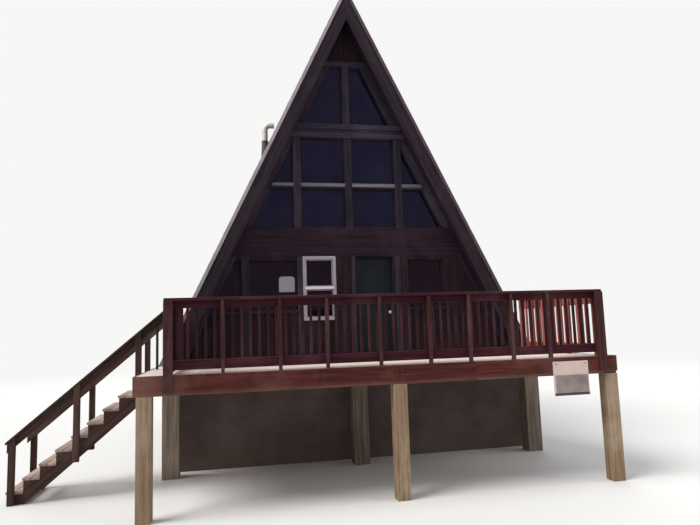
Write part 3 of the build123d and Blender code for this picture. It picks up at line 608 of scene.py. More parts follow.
def paint(name, base, worn, rough, grime, brush=0.15):
    """Brushed paint that is dull and dirty in patches."""
    material, tree, place = new_material(name)
    patch = noise(place, scale=3.5, detail=6.0, rough=0.65)
    strokes = noise(stretched(place, 2, 4.0, 60.0), scale=1.0, detail=4.0, rough=0.55)
    surface(tree, {
        "Base Color": mixed(spread(patch, 0.48, 0.72, 0, grime), base, worn),
        "Roughness": spread(patch, 0.3, 0.7, rough - 0.08, rough + 0.15),
        "Specular IOR Level": 0.2,
        "Normal": bump(strokes, strength=brush, distance=0.002),
    })
    return material


def concrete(name, base, pale, dirt, groove, form_board):
    """A cast wall, dirty at its foot, with the marks of its form boards."""
    material, tree, place = new_material(name)
    cloud = noise(place, scale=1.1, detail=7.0, rough=0.6)
    grit = noise(place, scale=45.0, detail=5.0, rough=0.6)
    rise = component(place, 2)
    seam = seam_at(maths("DIVIDE", rise, form_board), 0.478, 0.495)
    colour = mixed(spread(cloud, 0.35, 0.68), base, pale)
    colour = mixed(spread(rise, 0.0, 0.5, 0.6, 0.0), colour, dirt)
    height = maths("SUBTRACT", maths("MULTIPLY", grit, 0.35), maths("MULTIPLY", seam, 0.8))
    surface(tree, {
        "Base Color": mixed(maths("MULTIPLY", seam, 0.3), colour, groove),
        "Roughness": spread(grit, 0.3, 0.7, 0.75, 0.95),
        "Specular IOR Level": 0.3,
        "Normal": bump(height, strength=0.5, distance=0.006),
    })
    return material


def glass(name, clean, dusty, sheen):
    """Dark, slightly dusty window glass, whose sheen is tinted with a painted reflection of what it mirrors.
    """
    material, tree, place = new_material(name)
    dust = noise(place, scale=2.2, detail=6.0, rough=0.65)
    surface(tree, {
        "Base Color": mixed(spread(dust, 0.4, 0.75), clean, dusty),
        "Roughness": spread(dust, 0.35, 0.8, 0.03, 0.15),
        "Specular IOR Level": 0.12,
        "Specular Tint": sheen,
        "Transmission Weight": 0.6,
        "IOR": 1.45,
    })
    return material


def floor_planks(name, dark, base, groove, underside_painted_shade, pitch):
    """A floor of planks along the cabin, each with a tone of its own, and painted shade on its sides and
    underside.
    """
    material, tree, place = new_material(name)
    plank = maths("DIVIDE", component(place, 0), pitch)
    number = {"W": maths("FLOOR", plank)}
    tone = add(tree, "ShaderNodeTexWhiteNoise", number, noise_dimensions="1D").outputs[0]
    seam = seam_at(plank, 0.475, 0.495)
    streak = noise(stretched(place, 1, 1.5, 30.0), scale=1.0, detail=6.0, rough=0.6)
    share = maths("MULTIPLY", spread(streak, 0.3, 0.7), spread(tone, 0, 1, 0.55, 1.0))
    colour = mixed(share, dark, base)
    colour = mixed(maths("MULTIPLY", seam, 0.8), colour, groove)
    height = maths("SUBTRACT", maths("MULTIPLY", streak, 0.3), seam)
    surface(tree, {
        # Painted shade: faces that do not look up take the darker underside colour.
        "Base Color": mixed(spread(facing_up(tree), 0.4, 0.6), underside_painted_shade, colour),
        "Roughness": 0.55,
        "Normal": bump(height, strength=0.4, distance=0.004),
    })
    return material


# Materials of the cabin

SIDING = wood(
    "siding_stained", (0.010, 0.005, 0.008), (0.028, 0.014, 0.020), (0.062, 0.039, 0.047), weather=0.3,
)
# A darker copy of the siding stain for the walls behind the boards: painted shade in the gaps between them.
SIDING_BEHIND_PAINTED_SHADE = wood("siding_behind_painted_shade", (0.008, 0.005, 0.006), (0.018, 0.011, 0.012), (0.03, 0.02, 0.02), axis=2)
TRIM = wood("trim_stained", (0.011, 0.006, 0.010), (0.028, 0.015, 0.024), (0.068, 0.045, 0.058), weather=0.35)
TRIM_UPPER = wood("upper_trim_stained", (0.017, 0.013, 0.020), (0.042, 0.033, 0.052), (0.09, 0.073, 0.10))
RAKE = wood("rake_stained", (0.014, 0.009, 0.013), (0.036, 0.023, 0.033), (0.075, 0.055, 0.068), weather=0.35)
PALE_RAIL = wood("window_rail_pale", (0.125, 0.115, 0.14), (0.22, 0.205, 0.245), (0.30, 0.28, 0.32))
RAIL_BOARDS = wood(
    "rail_boards_stained", (0.022, 0.005, 0.008), (0.056, 0.012, 0.018), (0.13, 0.058, 0.064), fade=0.7,
)
RAIL_POSTS = wood("rail_posts_stained", (0.034, 0.013, 0.013), (0.080, 0.031, 0.030), (0.17, 0.095, 0.09))
BALUSTERS = wood("balusters_stained", (0.022, 0.007, 0.010), (0.056, 0.018, 0.024), (0.12, 0.06, 0.064))
# A lighter, redder copy of the railing stain for the right railing: painted sunlight.
STAIN_PAINTED_SUNLIGHT = wood(
    "railing_painted_sunlight", (0.20, 0.045, 0.032), (0.42, 0.13, 0.10), (0.66, 0.38, 0.33), weather=0.6,
)
# The fascia has a painted highlight along its lower edge and painted bounce light on its left end.
FASCIA = wood(
    "fascia_stained", (0.044, 0.011, 0.009), (0.100, 0.025, 0.021), (0.21, 0.11, 0.085), fade=0.5,
    painted_highlights=((2, FASCIA_LOW + 0.07, FASCIA_LOW + 0.02, 0.35), (0, -DECK_HALF + 0.7, -DECK_HALF + 0.1, 0.6)),
)
STAIR = wood("stair_stained", (0.032, 0.017, 0.013), (0.074, 0.042, 0.034), (0.15, 0.105, 0.085), fade=0.6)
# Pale weathered decking, made paler still with painted sunlight.
DECKING = wood(
    "decking_weathered_and_painted_sunlight", (0.70, 0.52, 0.47), (0.91, 0.75, 0.70), (0.93, 0.84, 0.80), weather=0.5,
    tones=(0.80, 1.04),
)
TREADS = wood("treads_weathered", (0.26, 0.17, 0.14), (0.46, 0.33, 0.28), (0.62, 0.50, 0.45), weather=0.5)
POST = wood(
    "post_weathered", (0.19, 0.127, 0.078), (0.335, 0.235, 0.152), (0.47, 0.37, 0.28), weather=0.7,
    streaks=26.0, tones=(0.88, 1.12),
)
# A greyer copy of the post wood for the rear posts under the deck: painted shade.
POST_PAINTED_SHADE = wood(
    "post_painted_shade", (0.15, 0.115, 0.09), (0.30, 0.24, 0.185), (0.42, 0.35, 0.28), tones=(0.75, 1.2),
)
FRAMING = wood("framing_bare", (0.07, 0.05, 0.036), (0.16, 0.115, 0.08), (0.26, 0.20, 0.15))
ROOFING = wood(
    "shingles_weathered", (0.030, 0.023, 0.021), (0.085, 0.066, 0.058), (0.18, 0.16, 0.15), fade=0.15,
    weather=0.6, tones=(0.5, 1.45),
)
INTERIOR = wood("interior_boards", (0.05, 0.035, 0.024), (0.11, 0.08, 0.055), (0.16, 0.12, 0.09), axis=1)
# Stained concrete, darkened further with painted shade from the deck and cabin above it.
FOUNDATION = concrete(
    "foundation_stained_and_painted_shade", (0.084, 0.060, 0.055), (0.148, 0.108, 0.100), dirt=(0.17, 0.125, 0.095),
    groove=(0.04, 0.035, 0.034), form_board=0.3,
)
FLOORING = floor_planks(
    "floor_boards_bare", (0.09, 0.06, 0.04), (0.26, 0.18, 0.115), groove=(0.01, 0.008, 0.007),
    underside_painted_shade=(0.07, 0.05, 0.038), pitch=0.14,
)
# Copies of one edge metal: painted sunlight on the left flashings, painted shade on the right flashings and
# the ridge cap.
EDGE_METAL_PAINTED_SUNLIGHT = metal("edge_metal_painted_sunlight", (0.35, 0.325, 0.34), (0.24, 0.22, 0.235), 0.42, 0.3)
DARK_METAL_PAINTED_SHADE = metal("edge_metal_painted_shade", (0.050, 0.034, 0.042), (0.085, 0.068, 0.07), 0.5, 0.3)
VENT_METAL = metal("vent_metal", (0.72, 0.69, 0.68), (0.46, 0.41, 0.38), 0.42, 0.4)
LEAD = metal("vent_boot_metal", (0.07, 0.066, 0.07), (0.13, 0.095, 0.08), 0.6, 0.4)
FIXING_METAL = metal("fixing_metal", (0.085, 0.068, 0.062), (0.06, 0.038, 0.028), 0.6, 0.5)
KNOB_METAL = metal("knob_metal", (0.72, 0.68, 0.58), (0.5, 0.45, 0.36), 0.28, 0.9)
# Each glass's sheen tint is a painted reflection colour.
GABLE_GLASS = glass("gable_glass_dusty", (0.011, 0.011, 0.028), (0.030, 0.030, 0.054), (0.36, 0.32, 0.70))
WINDOW_GLASS = glass("window_glass_dusty", (0.009, 0.005, 0.009), (0.024, 0.017, 0.023), (0.42, 0.26, 0.40))
# White paint greyed with painted shade, for the white window's frame and sashes.
WHITE_PAINTED_SHADE = paint("white_paint", (0.38, 0.35, 0.39), (0.24, 0.215, 0.235), 0.45, 0.35)
DOOR_PAINT = paint("door_paint_teal", (0.0045, 0.008, 0.011), (0.010, 0.0115, 0.015), 0.55, 0.6)
# The same white paint without the painted shade, for the rail where the sashes meet.
WHITE_UNSHADED = paint("white_paint_unshaded", (0.84, 0.78, 0.83), (0.62, 0.56, 0.60), 0.45, 0.3)
# A white card greyed with painted shade.
CARD = paint("card_white_painted_shade", (0.36, 0.335, 0.37), (0.25, 0.23, 0.25), 0.6, 0.3, 0.05)
SIGN_PALE = paint("sign_pale", (0.66, 0.52, 0.48), (0.42, 0.34, 0.32), 0.55, 0.6)
SIGN_GREY = paint("sign_grey", (0.32, 0.26, 0.24), (0.16, 0.135, 0.14), 0.55, 0.8)
SIGN_DARK = paint("sign_edge", (0.07, 0.062, 0.07), (0.04, 0.035, 0.04), 0.6, 0.6)


# Walls

def cladding(mesh, x0, x1, z0, z1, holes, y0, y1, inset):
    """Upright boards over part of a wall, left out where a hole (x0, x1, z0, z1) is cut through it."""
    cuts = sorted({x0, x1, *(x for hole in holes for x in hole[:2] if x0 < x < x1)})
    for left, right in zip(cuts, cuts[1:]):
        spans = [(z0, z1)]
        for hole in holes:
            if hole[0] < (left + right) / 2 < hole[1]:
                spans = [
                    span
                    for low, high in spans
                    for span in ((low, min(high, hole[2])), (max(low, hole[3]), high))
                    if span[1] - span[0] > LEAST_BOARD_LENGTH
                ]
        count = max(1, round((right - left) / BOARD_WIDTH))
        for start, end in rows(left, right, count, BOARD_GAP):
            for low, high in spans:
                outline = under_slopes(rectangle(start, end, low, high), inset)
                if area(outline) > LEAST_BOARD_AREA:
                    upright(mesh, outline, y0, y1)


def hole_of(low, high):
    return (low.x, high.x, low.z, high.z)


def ground_floor_holes():
    """The plain windows of the ground floor and the white one, as holes in the cladding."""
    low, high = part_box("white_window_frame")
    panes = [hole_of(*box) for box in solid_boxes("ground_floor_glass")]
    return sorted(hole for hole in panes if not low.x < hole[0] < hole[1] < high.x), hole_of(low, high)


def front_cladding():
    """Siding on the ground floor, with upright trim between the windows and along the slopes."""
    (small, big, right), white = ground_floor_holes()
    reach = half_at(DECK)
    small = (-reach, *small[1:])
    face = WALL_FACE + SINK
    front = face - BOARD_THICK
    boards = bmesh.new()
    for x0, x1, holes in (
        (-reach, small[1], [small]),
        (big[0], big[1], [big]),
        (white[0], DOOR_LEFT, [white]),
        (DOOR_RIGHT, right[0], []),
        (right[0], reach, [right]),
    ):
        cladding(boards, x0, x1, DECK, BAND_LOW, holes, front, face, OPENING_INSET)
    timber("front_siding", boards, SIDING, "stained_siding", 11, soften=0.002)

    trim = bmesh.new()
    front = face - TRIM_THICK
    proud = front - DOOR_TRIM_PROUD
    block(trim, small[1], big[0], front, face, DECK, BAND_LOW)
    block(trim, big[1], white[0], front, face, DECK, BAND_LOW)
    for side, (start, end) in ((DOOR_RIGHT, DOOR_TRIM_RIGHT), (DOOR_LEFT, DOOR_TRIM_LEFT)):
        block(trim, side + start, side + end, proud, face, DECK, BAND_LOW)
    corners = ((DECK, ROOF_INSET), (BAND_LOW, ROOF_INSET), (BAND_LOW, OPENING_INSET), (DECK, OPENING_INSET))
    for side in (-1, 1):
        upright(trim, [(side * half_at(z, inset), z) for z, inset in corners], front, face)
    timber("front_wall_trim", trim, TRIM_UPPER, "stained_trim", 12, soften=0.003)


def peak_boards():
    """Boards let into the peak."""
    low, high = (corner.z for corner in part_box("peak_panel"))
    face = WALL_FACE + PEAK_RECESS + SINK
    reach = half_at(low, OPENING_INSET)
    mesh = bmesh.new()
    cladding(mesh, -reach, reach, low, high, [], face - BOARD_THICK, face, OPENING_INSET)
    timber("peak_boards", mesh, SIDING, "stained_siding", 13, soften=0.002)


def back_cladding():
    """Siding on the back wall, under and over its band."""
    holes = [hole_of(*box) for box in solid_boxes("back_window_frames")]
    face = BACK_FACE - SINK
    mesh = bmesh.new()
    for low, high in ((DECK, BAND_LOW), (BAND_TOP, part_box("back_wall_upper")[1].z)):
        reach = half_at(low, ROOF_INSET)
        cladding(mesh, -reach, reach, low, high, holes, face, face + BOARD_THICK, ROOF_INSET)
    timber("back_siding", mesh, SIDING, "stained_siding", 14, soften=0.002)


def beads(name, node, y0, y1, width, seed, skip=(0, 0)):
    """Mitred beads round each pane of a glass node, apart from panes between two places."""
    mesh = bmesh.new()
    for outline in pane_outlines(node):
        if not between(outline, *skip):
            mitred_frame(mesh, outline, width, y0, y1)
    timber(name, mesh, TRIM, "stained_trim", seed, soften=0.0025)


def window_beads():
    front, inside = (corner.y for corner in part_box("gable_glass"))
    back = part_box("back_glass")[1].y
    white = [corner.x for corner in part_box("white_window_frame")]
    beads("gable_window_beads", "gable_glass", front - BEAD_DEPTH, front, GABLE_BEAD, 21)
    beads("gable_inside_beads", "gable_glass", inside, inside + INSIDE_BEAD_DEPTH, GABLE_BEAD, 22)
    beads("ground_window_beads", "ground_floor_glass", front - BEAD_DEPTH, front, GROUND_BEAD, 23, skip=white)
    beads("back_window_beads", "back_glass", back, back + INSIDE_BEAD_DEPTH, BACK_BEAD, 24)


def window_rail():
    """The rail across the gable windows: a pale board over a dark one that stands a little back."""
    pale, dark = bmesh.new(), bmesh.new()
    for low, high in solid_boxes("window_rail"):
        split = high.z - PALE_RAIL_DEPTH
        for mesh, z0, z1, back in (
            (pale, split, high.z, 0),
            (dark, low.z, split - DARK_RAIL_GAP, DARK_RAIL_BACK),
        ):
            outline = under_slopes(rectangle(low.x, high.x, z0, z1), OPENING_INSET)
            upright(mesh, outline, low.y + back, high.y)
    timber("window_rail_pale", pale, PALE_RAIL, "pale_trim", 27, stands_for=("window_rail",))
    timber("window_rail_under", dark, TRIM_UPPER, "stained_trim", 28)


def white_window_sashes():
    """The two slim sashes inside the white frame, in white paint greyed with painted shade, and the rail where
    they meet, in white without it.
    """
    low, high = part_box("white_window_frame")
    glass_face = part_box("ground_floor_glass")[0].y
    panes = [points for points in pane_outlines("ground_floor_glass") if between(points, low.x, high.x)]
    mesh = bmesh.new()
    for outline in panes:
        mitred_frame(mesh, outline, SASH_WIDTH, low.y + SASH_BACK, glass_face)
    timber("white_window_sashes", mesh, WHITE_PAINTED_SHADE, "white_frame", 25, soften=0.002)
    dressed("white_window_frame", WHITE_PAINTED_SHADE, "white_frame", 26, soften=0.005)

    edges = sorted(limit(z for x, z in points) for points in panes for limit in (min, max))
    meeting = (edges[1] + edges[2]) / 2
    rail = bmesh.new()
    block(
        rail, low.x + SASH_BACK, high.x - SASH_BACK, low.y - MEETING_RAIL_PROUD, low.y + MEETING_RAIL_DEPTH,
        meeting - MEETING_RAIL_HALF, meeting + MEETING_RAIL_HALF,
    )
    timber("white_window_rail", rail, WHITE_UNSHADED, "white_frame", 29)


# Roof

def slope_point(side, along, y, out):
    """A point on a roof slope: a distance up the slope from the eave, and one out from its face."""
    x = ROOF_HALF - along * math.sin(LEAN) + out * math.cos(LEAN)
    z = DECK + along * math.cos(LEAN) + out * math.sin(LEAN)
    return Vector((side * x, y, z))


def shingles():
    """Courses of wooden shingles of uneven width on both slopes."""
    chance = random.Random(31)
    length = (APEX - DECK) / math.cos(LEAN)
    cap_low, cap_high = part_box("ridge_cap")
    top = length - (APEX - cap_low.z) / math.cos(LEAN)
    y_end = cap_high.y - ROOF_END_GAP
    for side, name in ((-1, "left_shingles"), (1, "right_shingles")):
        mesh = bmesh.new()
        for course in range(math.ceil(top / COURSE)):
            y = cap_low.y + ROOF_END_GAP
            while y < y_end:
                after = min(y + chance.uniform(*SHINGLE_WIDTHS), y_end)
                if y_end - after < SHINGLE_LEAST:
                    after = y_end
                low = max(0, course * COURSE + chance.uniform(-SHINGLE_UNEVEN, SHINGLE_UNEVEN))
                high = min((course + 1) * COURSE + COURSE_LAP, top)
                butt = SHINGLE_BUTT + chance.uniform(*SHINGLE_BUTT_SPREAD)
                corners = [(low, -SINK), (high, -SINK), (high, SHINGLE_HEAD), (low, butt)]
                outline = [slope_point(side, along, y + SHINGLE_GAP / 2, out) for along, out in corners]
                prism(mesh, outline, BACK * (after - y - SHINGLE_GAP))
                y = after
        timber(name, mesh, ROOFING, "roofing", 32 + side, soften=0)


def soffit_boards():
    """Boards under the overhang of the roof, at both gables."""
    foot = DECK + SOFFIT_FOOT_GAP
    top = APEX - ROOF_INSET / SLOPE - SOFFIT_TOP_GAP
    corners = ((foot, 0), (top, 0), (top, SOFFIT_THICK), (foot, SOFFIT_THICK))
    mesh = bmesh.new()
    for y0, y1 in ((ROOF_FRONT, WALL_FACE), (BACK_FACE, ROOF_BACK)):
        for side in (-1, 1):
            for start, end in rows(y0, y1, SOFFIT_BOARDS, SOFFIT_GAP):
                outline = [(side * (half_at(z, ROOF_INSET + inset) + SINK), start, z) for z, inset in corners]
                prism(mesh, outline, BACK * (end - start))
    timber("soffit_boards", mesh, RAKE, "stained_trim", 35, soften=0.0015)


def ridge_screws():
    """Screw heads along the ridge cap."""
    low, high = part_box("ridge_cap")
    cap_thick = (high.z - APEX) * math.sin(LEAN)
    along = (low.z - DECK) / math.cos(LEAN) + RIDGE_SCREW_INSET
    mesh = bmesh.new()
    for side in (-1, 1):
        normal = Vector((side * math.cos(LEAN), 0, math.sin(LEAN)))
        for number in range(int((high.y - low.y) / RIDGE_SCREW_PITCH)):
            y = low.y + RIDGE_SCREW_START + number * RIDGE_SCREW_PITCH
            dome(mesh, slope_point(side, along, y, cap_thick), normal, radius=0.008, height=0.003)
    add_piece("ridge_screws", mesh, FIXING_METAL, "roof_metal_dark")


def band(mesh, place, normal, proud, length):
    """A round band on the vent's pipe."""
    outer = VENT_RADIUS + proud
    stations = ((VENT_RADIUS, 0), (outer, 0), (outer, length), (VENT_RADIUS, length))
    turned(mesh, place, normal, stations, VENT_FACETS, closed=True)


def bent_pipe(mesh, foot, bend, mouth, steps=12, count=36):
    """A pipe that rises from a foot, turns level towards +X and ends in an open mouth."""
    stations = [(foot, 0, VENT_RADIUS)]
    for number in range(steps + 1):
        angle = math.pi / 2 * number / steps
        step = Vector((1 - math.cos(angle), 0, math.sin(angle))) * VENT_BEND
        stations.append((bend + step, angle, VENT_RADIUS))
    inner = VENT_RADIUS - VENT_WALL
    for place, radius in ((mouth, VENT_RADIUS), (mouth, inner), (mouth - RIGHT * VENT_OUTLET, inner)):
        stations.append((place, math.pi / 2, radius))
    loops = []
    for place, angle, radius in stations:
        outward = Vector((math.cos(angle), 0, -math.sin(angle)))
        loops.append(circle(mesh, place, outward, BACK, radius, count))
    skin(mesh, loops, caps=(0, -1))


def vent():
    """A metal pipe with a quarter bend, and the boot and plate that seal its foot on the left slope."""
    low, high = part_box("vent_pipe")
    centre_y = (low.y + high.y) / 2
    roof = Vector((VENT_X, centre_y, APEX + VENT_X / SLOPE))
    foot = roof - UP * VENT_SUNK
    bend = Vector((VENT_X, centre_y, DECK + VENT_RISE))
    mouth = bend + Vector((VENT_BEND + VENT_OUTLET, 0, VENT_BEND))
    pipe = bmesh.new()
    bent_pipe(pipe, foot, bend, mouth)
    band(pipe, mouth, -RIGHT, proud=0.005, length=0.018)
    band(pipe, bend - UP * VENT_JOINT_DROP, UP, proud=0.004, length=0.03)
    add_piece("vent_tube", pipe, VENT_METAL, "roof_metal", stands_for=("vent_pipe",), smooth=True)

    boot = bmesh.new()
    flare = (foot, VENT_RADIUS + VENT_BOOT_FLARE)
    collar = (roof + UP * VENT_BOOT, VENT_RADIUS + VENT_BOOT_PLAY)
    loops = [circle(boot, place, RIGHT, BACK, radius, VENT_FACETS) for place, radius in (flare, collar)]
    skin(boot, loops, caps=(0, 1))
    band(boot, roof + UP * (VENT_BOOT - VENT_CLAMP_DROP), UP, proud=0.010, length=0.022)
    along = (roof.z - DECK) / math.cos(LEAN)
    lift = SHINGLE_BUTT + VENT_PLATE_LIFT
    below, above = along - VENT_PLATE, along + VENT_PLATE
    corners = ((below, 0.0), (above, 0.0), (above, lift), (below, lift + VENT_PLATE_LIP))
    plate = [slope_point(-1, distance, centre_y - VENT_PLATE, out) for distance, out in corners]
    prism(boot, plate, BACK * 2 * VENT_PLATE)
    add_piece("vent_boot", boot, LEAD, "roof_metal", smooth=True)


# Deck

def floor_skirts():
    """Boards over the edges of the ground floor, three on each side and two at the back."""
    low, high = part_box("main_floor")
    thick = BOARD_THICK
    mesh = bmesh.new()
    for y0, y1 in rows(low.y, high.y, 3, 2 * BOARD_END_GAP):
        block(mesh, low.x - thick, low.x + SINK, y0, y1, low.z, high.z)
        block(mesh, high.x - SINK, high.x + thick, y0, y1, low.z, high.z)
    for x0, x1 in ((low.x - thick, -BOARD_END_GAP), (BOARD_END_GAP, high.x + thick)):
        block(mesh, x0, x1, high.y - SINK, high.y + thick, low.z, high.z)
    timber("floor_skirts", mesh, TRIM, "stained_trim", 40, soften=0.003)


def decking():
    """Boards across the deck, butted over the joists, with two nails where each crosses a joist."""
    low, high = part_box("deck_boards")
    joists = joist_lines()
    count = round((high.y - low.y) / DECK_BOARD_PITCH)
    pitch = (high.y - low.y) / count
    chance = random.Random(41)
    mesh = bmesh.new()
    for number in range(count):
        y0 = low.y + number * pitch + (DECK_BOARD_GAP / 2 if number else 0)
        y1 = low.y + (number + 1) * pitch - DECK_BOARD_GAP / 2
        joints = chance.sample(joists[2:-2:2] if number % 2 else joists[1:-1:3], 1)
        for start, end in zip((low.x, *joints), (*joints, high.x)):
            top = high.z - chance.uniform(0, DECK_BOARD_WEAR)
            block(mesh, start + DECK_BUTT_GAP, end - DECK_BUTT_GAP, y0, y1, low.z, top)
    timber("decking", mesh, DECKING, "deck_surface", 42, stands_for=("deck_boards",))

    nails = bmesh.new()
    for x in joists:
        for number in range(count):
            for share in NAIL_SHARES:
                place = Vector((x + NAIL_STEP, low.y + (number + share) * pitch, high.z - NAIL_HEAD))
                dome(nails, place, UP, radius=0.005, height=NAIL_HEAD, count=6)
    add_piece("deck_nails", nails, FIXING_METAL, "hardware")


def fascia():
    """The front fascia in three lengths; the right one is a little less deep."""
    mesh = bmesh.new()
    ends = (-DECK_HALF, *FASCIA_JOINTS, DECK_HALF)
    for start, end, lift in zip(ends, ends[1:], (0, 0, FASCIA_RIGHT_LIFT)):
        x0, x1 = start + BOARD_END_GAP, end - BOARD_END_GAP
        block(mesh, x0, x1, DECK_FRONT, FASCIA_BACK, FASCIA_LOW + lift, DECK)
    timber("front_fascia_boards", mesh, FASCIA, "deck_stain", 43, soften=0.005, stands_for=("front_fascia",))
    dressed("side_fascias", FASCIA, "deck_stain", 44, soften=0.005)


# Railings

def facing(mesh, side, u0, u1, v0, v1, z0, z1):
    """A railing timber: u along the railing, v outwards from the cabin's axes."""
    if side == "front":
        block(mesh, u0, u1, -v1, -v0, z0, z1)
    elif side == "right":
        block(mesh, v0, v1, u0, u1, z0, z1)
    else:
        block(mesh, -v1, -v0, u0, u1, z0, z1)


def railing(side, start, end, face, places, top, board_depth=TOP_BOARD_DEPTH):
    """A top board, a bottom rail and a cap, posts before them and balusters behind, as in the frame."""
    boards, posts, balusters = bmesh.new(), bmesh.new(), bmesh.new()
    board_face = face - RAIL_POST_DEPTH
    baluster_face = board_face - RAIL_BOARD
    inside = baluster_face - BALUSTER
    cap_low = top - CAP_THICK
    bottom = DECK + BOTTOM_RAIL_RISE
    joints = [start, *(place for place in places[2:-1:3] if start < place < end), end]
    for here, there in zip(joints, joints[1:]):
        ends = here + BOARD_END_GAP, there - BOARD_END_GAP
        facing(boards, side, *ends, inside - CAP_OVERLAP, face + CAP_OVERLAP, cap_low, top)
        facing(boards, side, *ends, baluster_face, board_face, cap_low - board_depth, cap_low)
        facing(boards, side, *ends, baluster_face, board_face, bottom, bottom + BOTTOM_RAIL_DEPTH)
    half = RAIL_POST_WIDTH / 2
    for place in places:
        facing(posts, side, place - half, place + half, board_face, face, DECK, cap_low)
    count = int((end - start) // BALUSTER_SPACING)
    first = (start + end) / 2 - (count - 1) / 2 * BALUSTER_SPACING
    for number in range(count):
        place = first + number * BALUSTER_SPACING
        left, right = place - BALUSTER / 2, place + BALUSTER / 2
        facing(balusters, side, left, right, inside, baluster_face, bottom, cap_low)
    return boards, posts, balusters


def railing_pieces(node, meshes, materials, seed):
    """The boards, posts and balusters of a railing; the boards stand for the node."""
    names = (f"{node}_boards", f"{node}_posts", f"{node}_balusters")
    for number, (name, mesh, material) in enumerate(zip(names, meshes, materials)):
        stands_for = () if number else (node,)
        timber(name, mesh, material, "deck_stain", seed + number, stands_for=stands_for)


def front_rail_places():
    """The middle of each front post, the two corner posts among them."""
    low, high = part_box("front_railing")
    start = low.x + CORNER_POST_WIDTH / 2
    end = high.x - CORNER_POST_WIDTH / 2
    scale = (end - start) / sum(FRONT_RAIL_BAYS)
    places = [start]
    for bay in FRONT_RAIL_BAYS:
        places.append(places[-1] + bay * scale)
    return places


def front_railing():
    low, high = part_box("front_railing")
    top = high.z
    places = front_rail_places()
    half = CORNER_POST_WIDTH / 2
    meshes = railing("front", places[0] - half, places[-1] + half, -DECK_FRONT, places[1:-1], top)
    foot = DECK - CORNER_POST_LAP
    board_face = DECK_FRONT + RAIL_POST_DEPTH
    outline = (
        (low.y, foot), (DECK_FRONT, foot), (DECK_FRONT, DECK), (board_face, DECK),
        (board_face, top - CAP_THICK), (low.y, top - CAP_THICK),
    )
    for place in (places[0], places[-1]):
        prism(meshes[1], [(place - half, y, z) for y, z in outline], RIGHT * CORNER_POST_WIDTH)
    railing_pieces("front_railing", meshes, (RAIL_BOARDS, RAIL_POSTS, BALUSTERS), 51)


def side_railing(side, outer, board_depth, materials, seed):
    """The railing on the right or left side of the deck, whose cap's outer edge is given."""
    low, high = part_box(f"{side}_railing")
    bays = max(1, round((high.y - low.y) / SIDE_RAIL_BAY))
    first = low.y + RAIL_POST_WIDTH / 2
    last = high.y - RAIL_POST_WIDTH / 2
    places = [first + (last - first) * number / bays for number in range(bays + 1)]
    meshes = railing(side, low.y, high.y, outer - CAP_OVERLAP, places, high.z, board_depth)
    railing_pieces(f"{side}_railing", meshes, materials, seed)


# Stairs

def treads():
    """Two boards for each tread."""
    mesh = bmesh.new()
    for low, high in solid_boxes("stair_treads"):
        middle = (low.x + high.x) / 2
        for x0, x1 in ((low.x, middle - TREAD_GAP / 2), (middle + TREAD_GAP / 2, high.x)):
            block(mesh, x0, x1, low.y, high.y, low.z, high.z)
    timber("tread_boards", mesh, TREADS, "deck_surface", 61, stands_for=("stair_treads",))
    dressed("stair_stringers", STAIR, "deck_stain", 62)


def stair_rails():
    """The two raked handrails, timber by timber, as in the frame."""
    (low, high), (next_low, next_high) = solid_boxes("stair_treads")[:2]
    run = next_low.x - low.x
    rise = next_high.z - high.z
    pitch = rise / run
    end_x = low.x
    post_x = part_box("stair_rails")[1].x - STAIR_POST_WIDTH
    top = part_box("stair_rails")[1].z
    top_nosing = -DECK_HALF
    board = CAP_THICK + HANDRAIL_BOARD
    mesh = bmesh.new()

    def line(x, drop):
        """Height over x of a line parallel to the stairs, a drop below the handrail's upper face."""
        return top - drop + (x - post_x) * pitch

    def strip(x0, x1, lower, upper, y0, y1):
        corners = ((x0, lower), (x0, upper), (x1, upper), (x1, lower))
        upright(mesh, [(x, line(x, drop)) for x, drop in corners], y0, y1)

    def post(x0, x1, foot, drop, y0, y1):
        upright(mesh, [(x0, foot), (x0, line(x0, drop)), (x1, line(x1, drop)), (x1, foot)], y0, y1)

    for board_y0, post_step in ((low.y, -RAIL_POST_DEPTH), (high.y - RAIL_BOARD, RAIL_BOARD)):
        board_y1 = board_y0 + RAIL_BOARD
        post_y0 = board_y0 + post_step
        post_y1 = post_y0 + RAIL_POST_DEPTH
        y0, y1 = min(post_y0, board_y0), max(post_y1, board_y1)
        strip(end_x, post_x, board, CAP_THICK, board_y0, board_y1)
        strip(end_x, post_x - CAP_OVERLAP, CAP_THICK, 0, y0 - CAP_OVERLAP, y1 + CAP_OVERLAP)
        block(mesh, post_x, post_x + STAIR_POST_WIDTH, y0, y1, DECK, top)
        for steps in STAIR_POST_STEPS:
            x = top_nosing - steps * run
            x0, x1 = x - STAIR_POST_WIDTH / 2, x + STAIR_POST_WIDTH / 2
            under = DECK - rise - TREAD_THICK - STRINGER_THROAT
            foot = max(0, under + (x0 - top_nosing) * pitch)
            post(x0, x1, foot, CAP_THICK, post_y0, post_y1)
        for gap in STAIR_BALUSTERS:
            x1 = post_x - gap
            post(x1 - BALUSTER, x1, DECK, board, board_y0, board_y1)
    timber("stair_rail_timber", mesh, STAIR, "deck_stain", 63, stands_for=("stair_rails",))


# Door

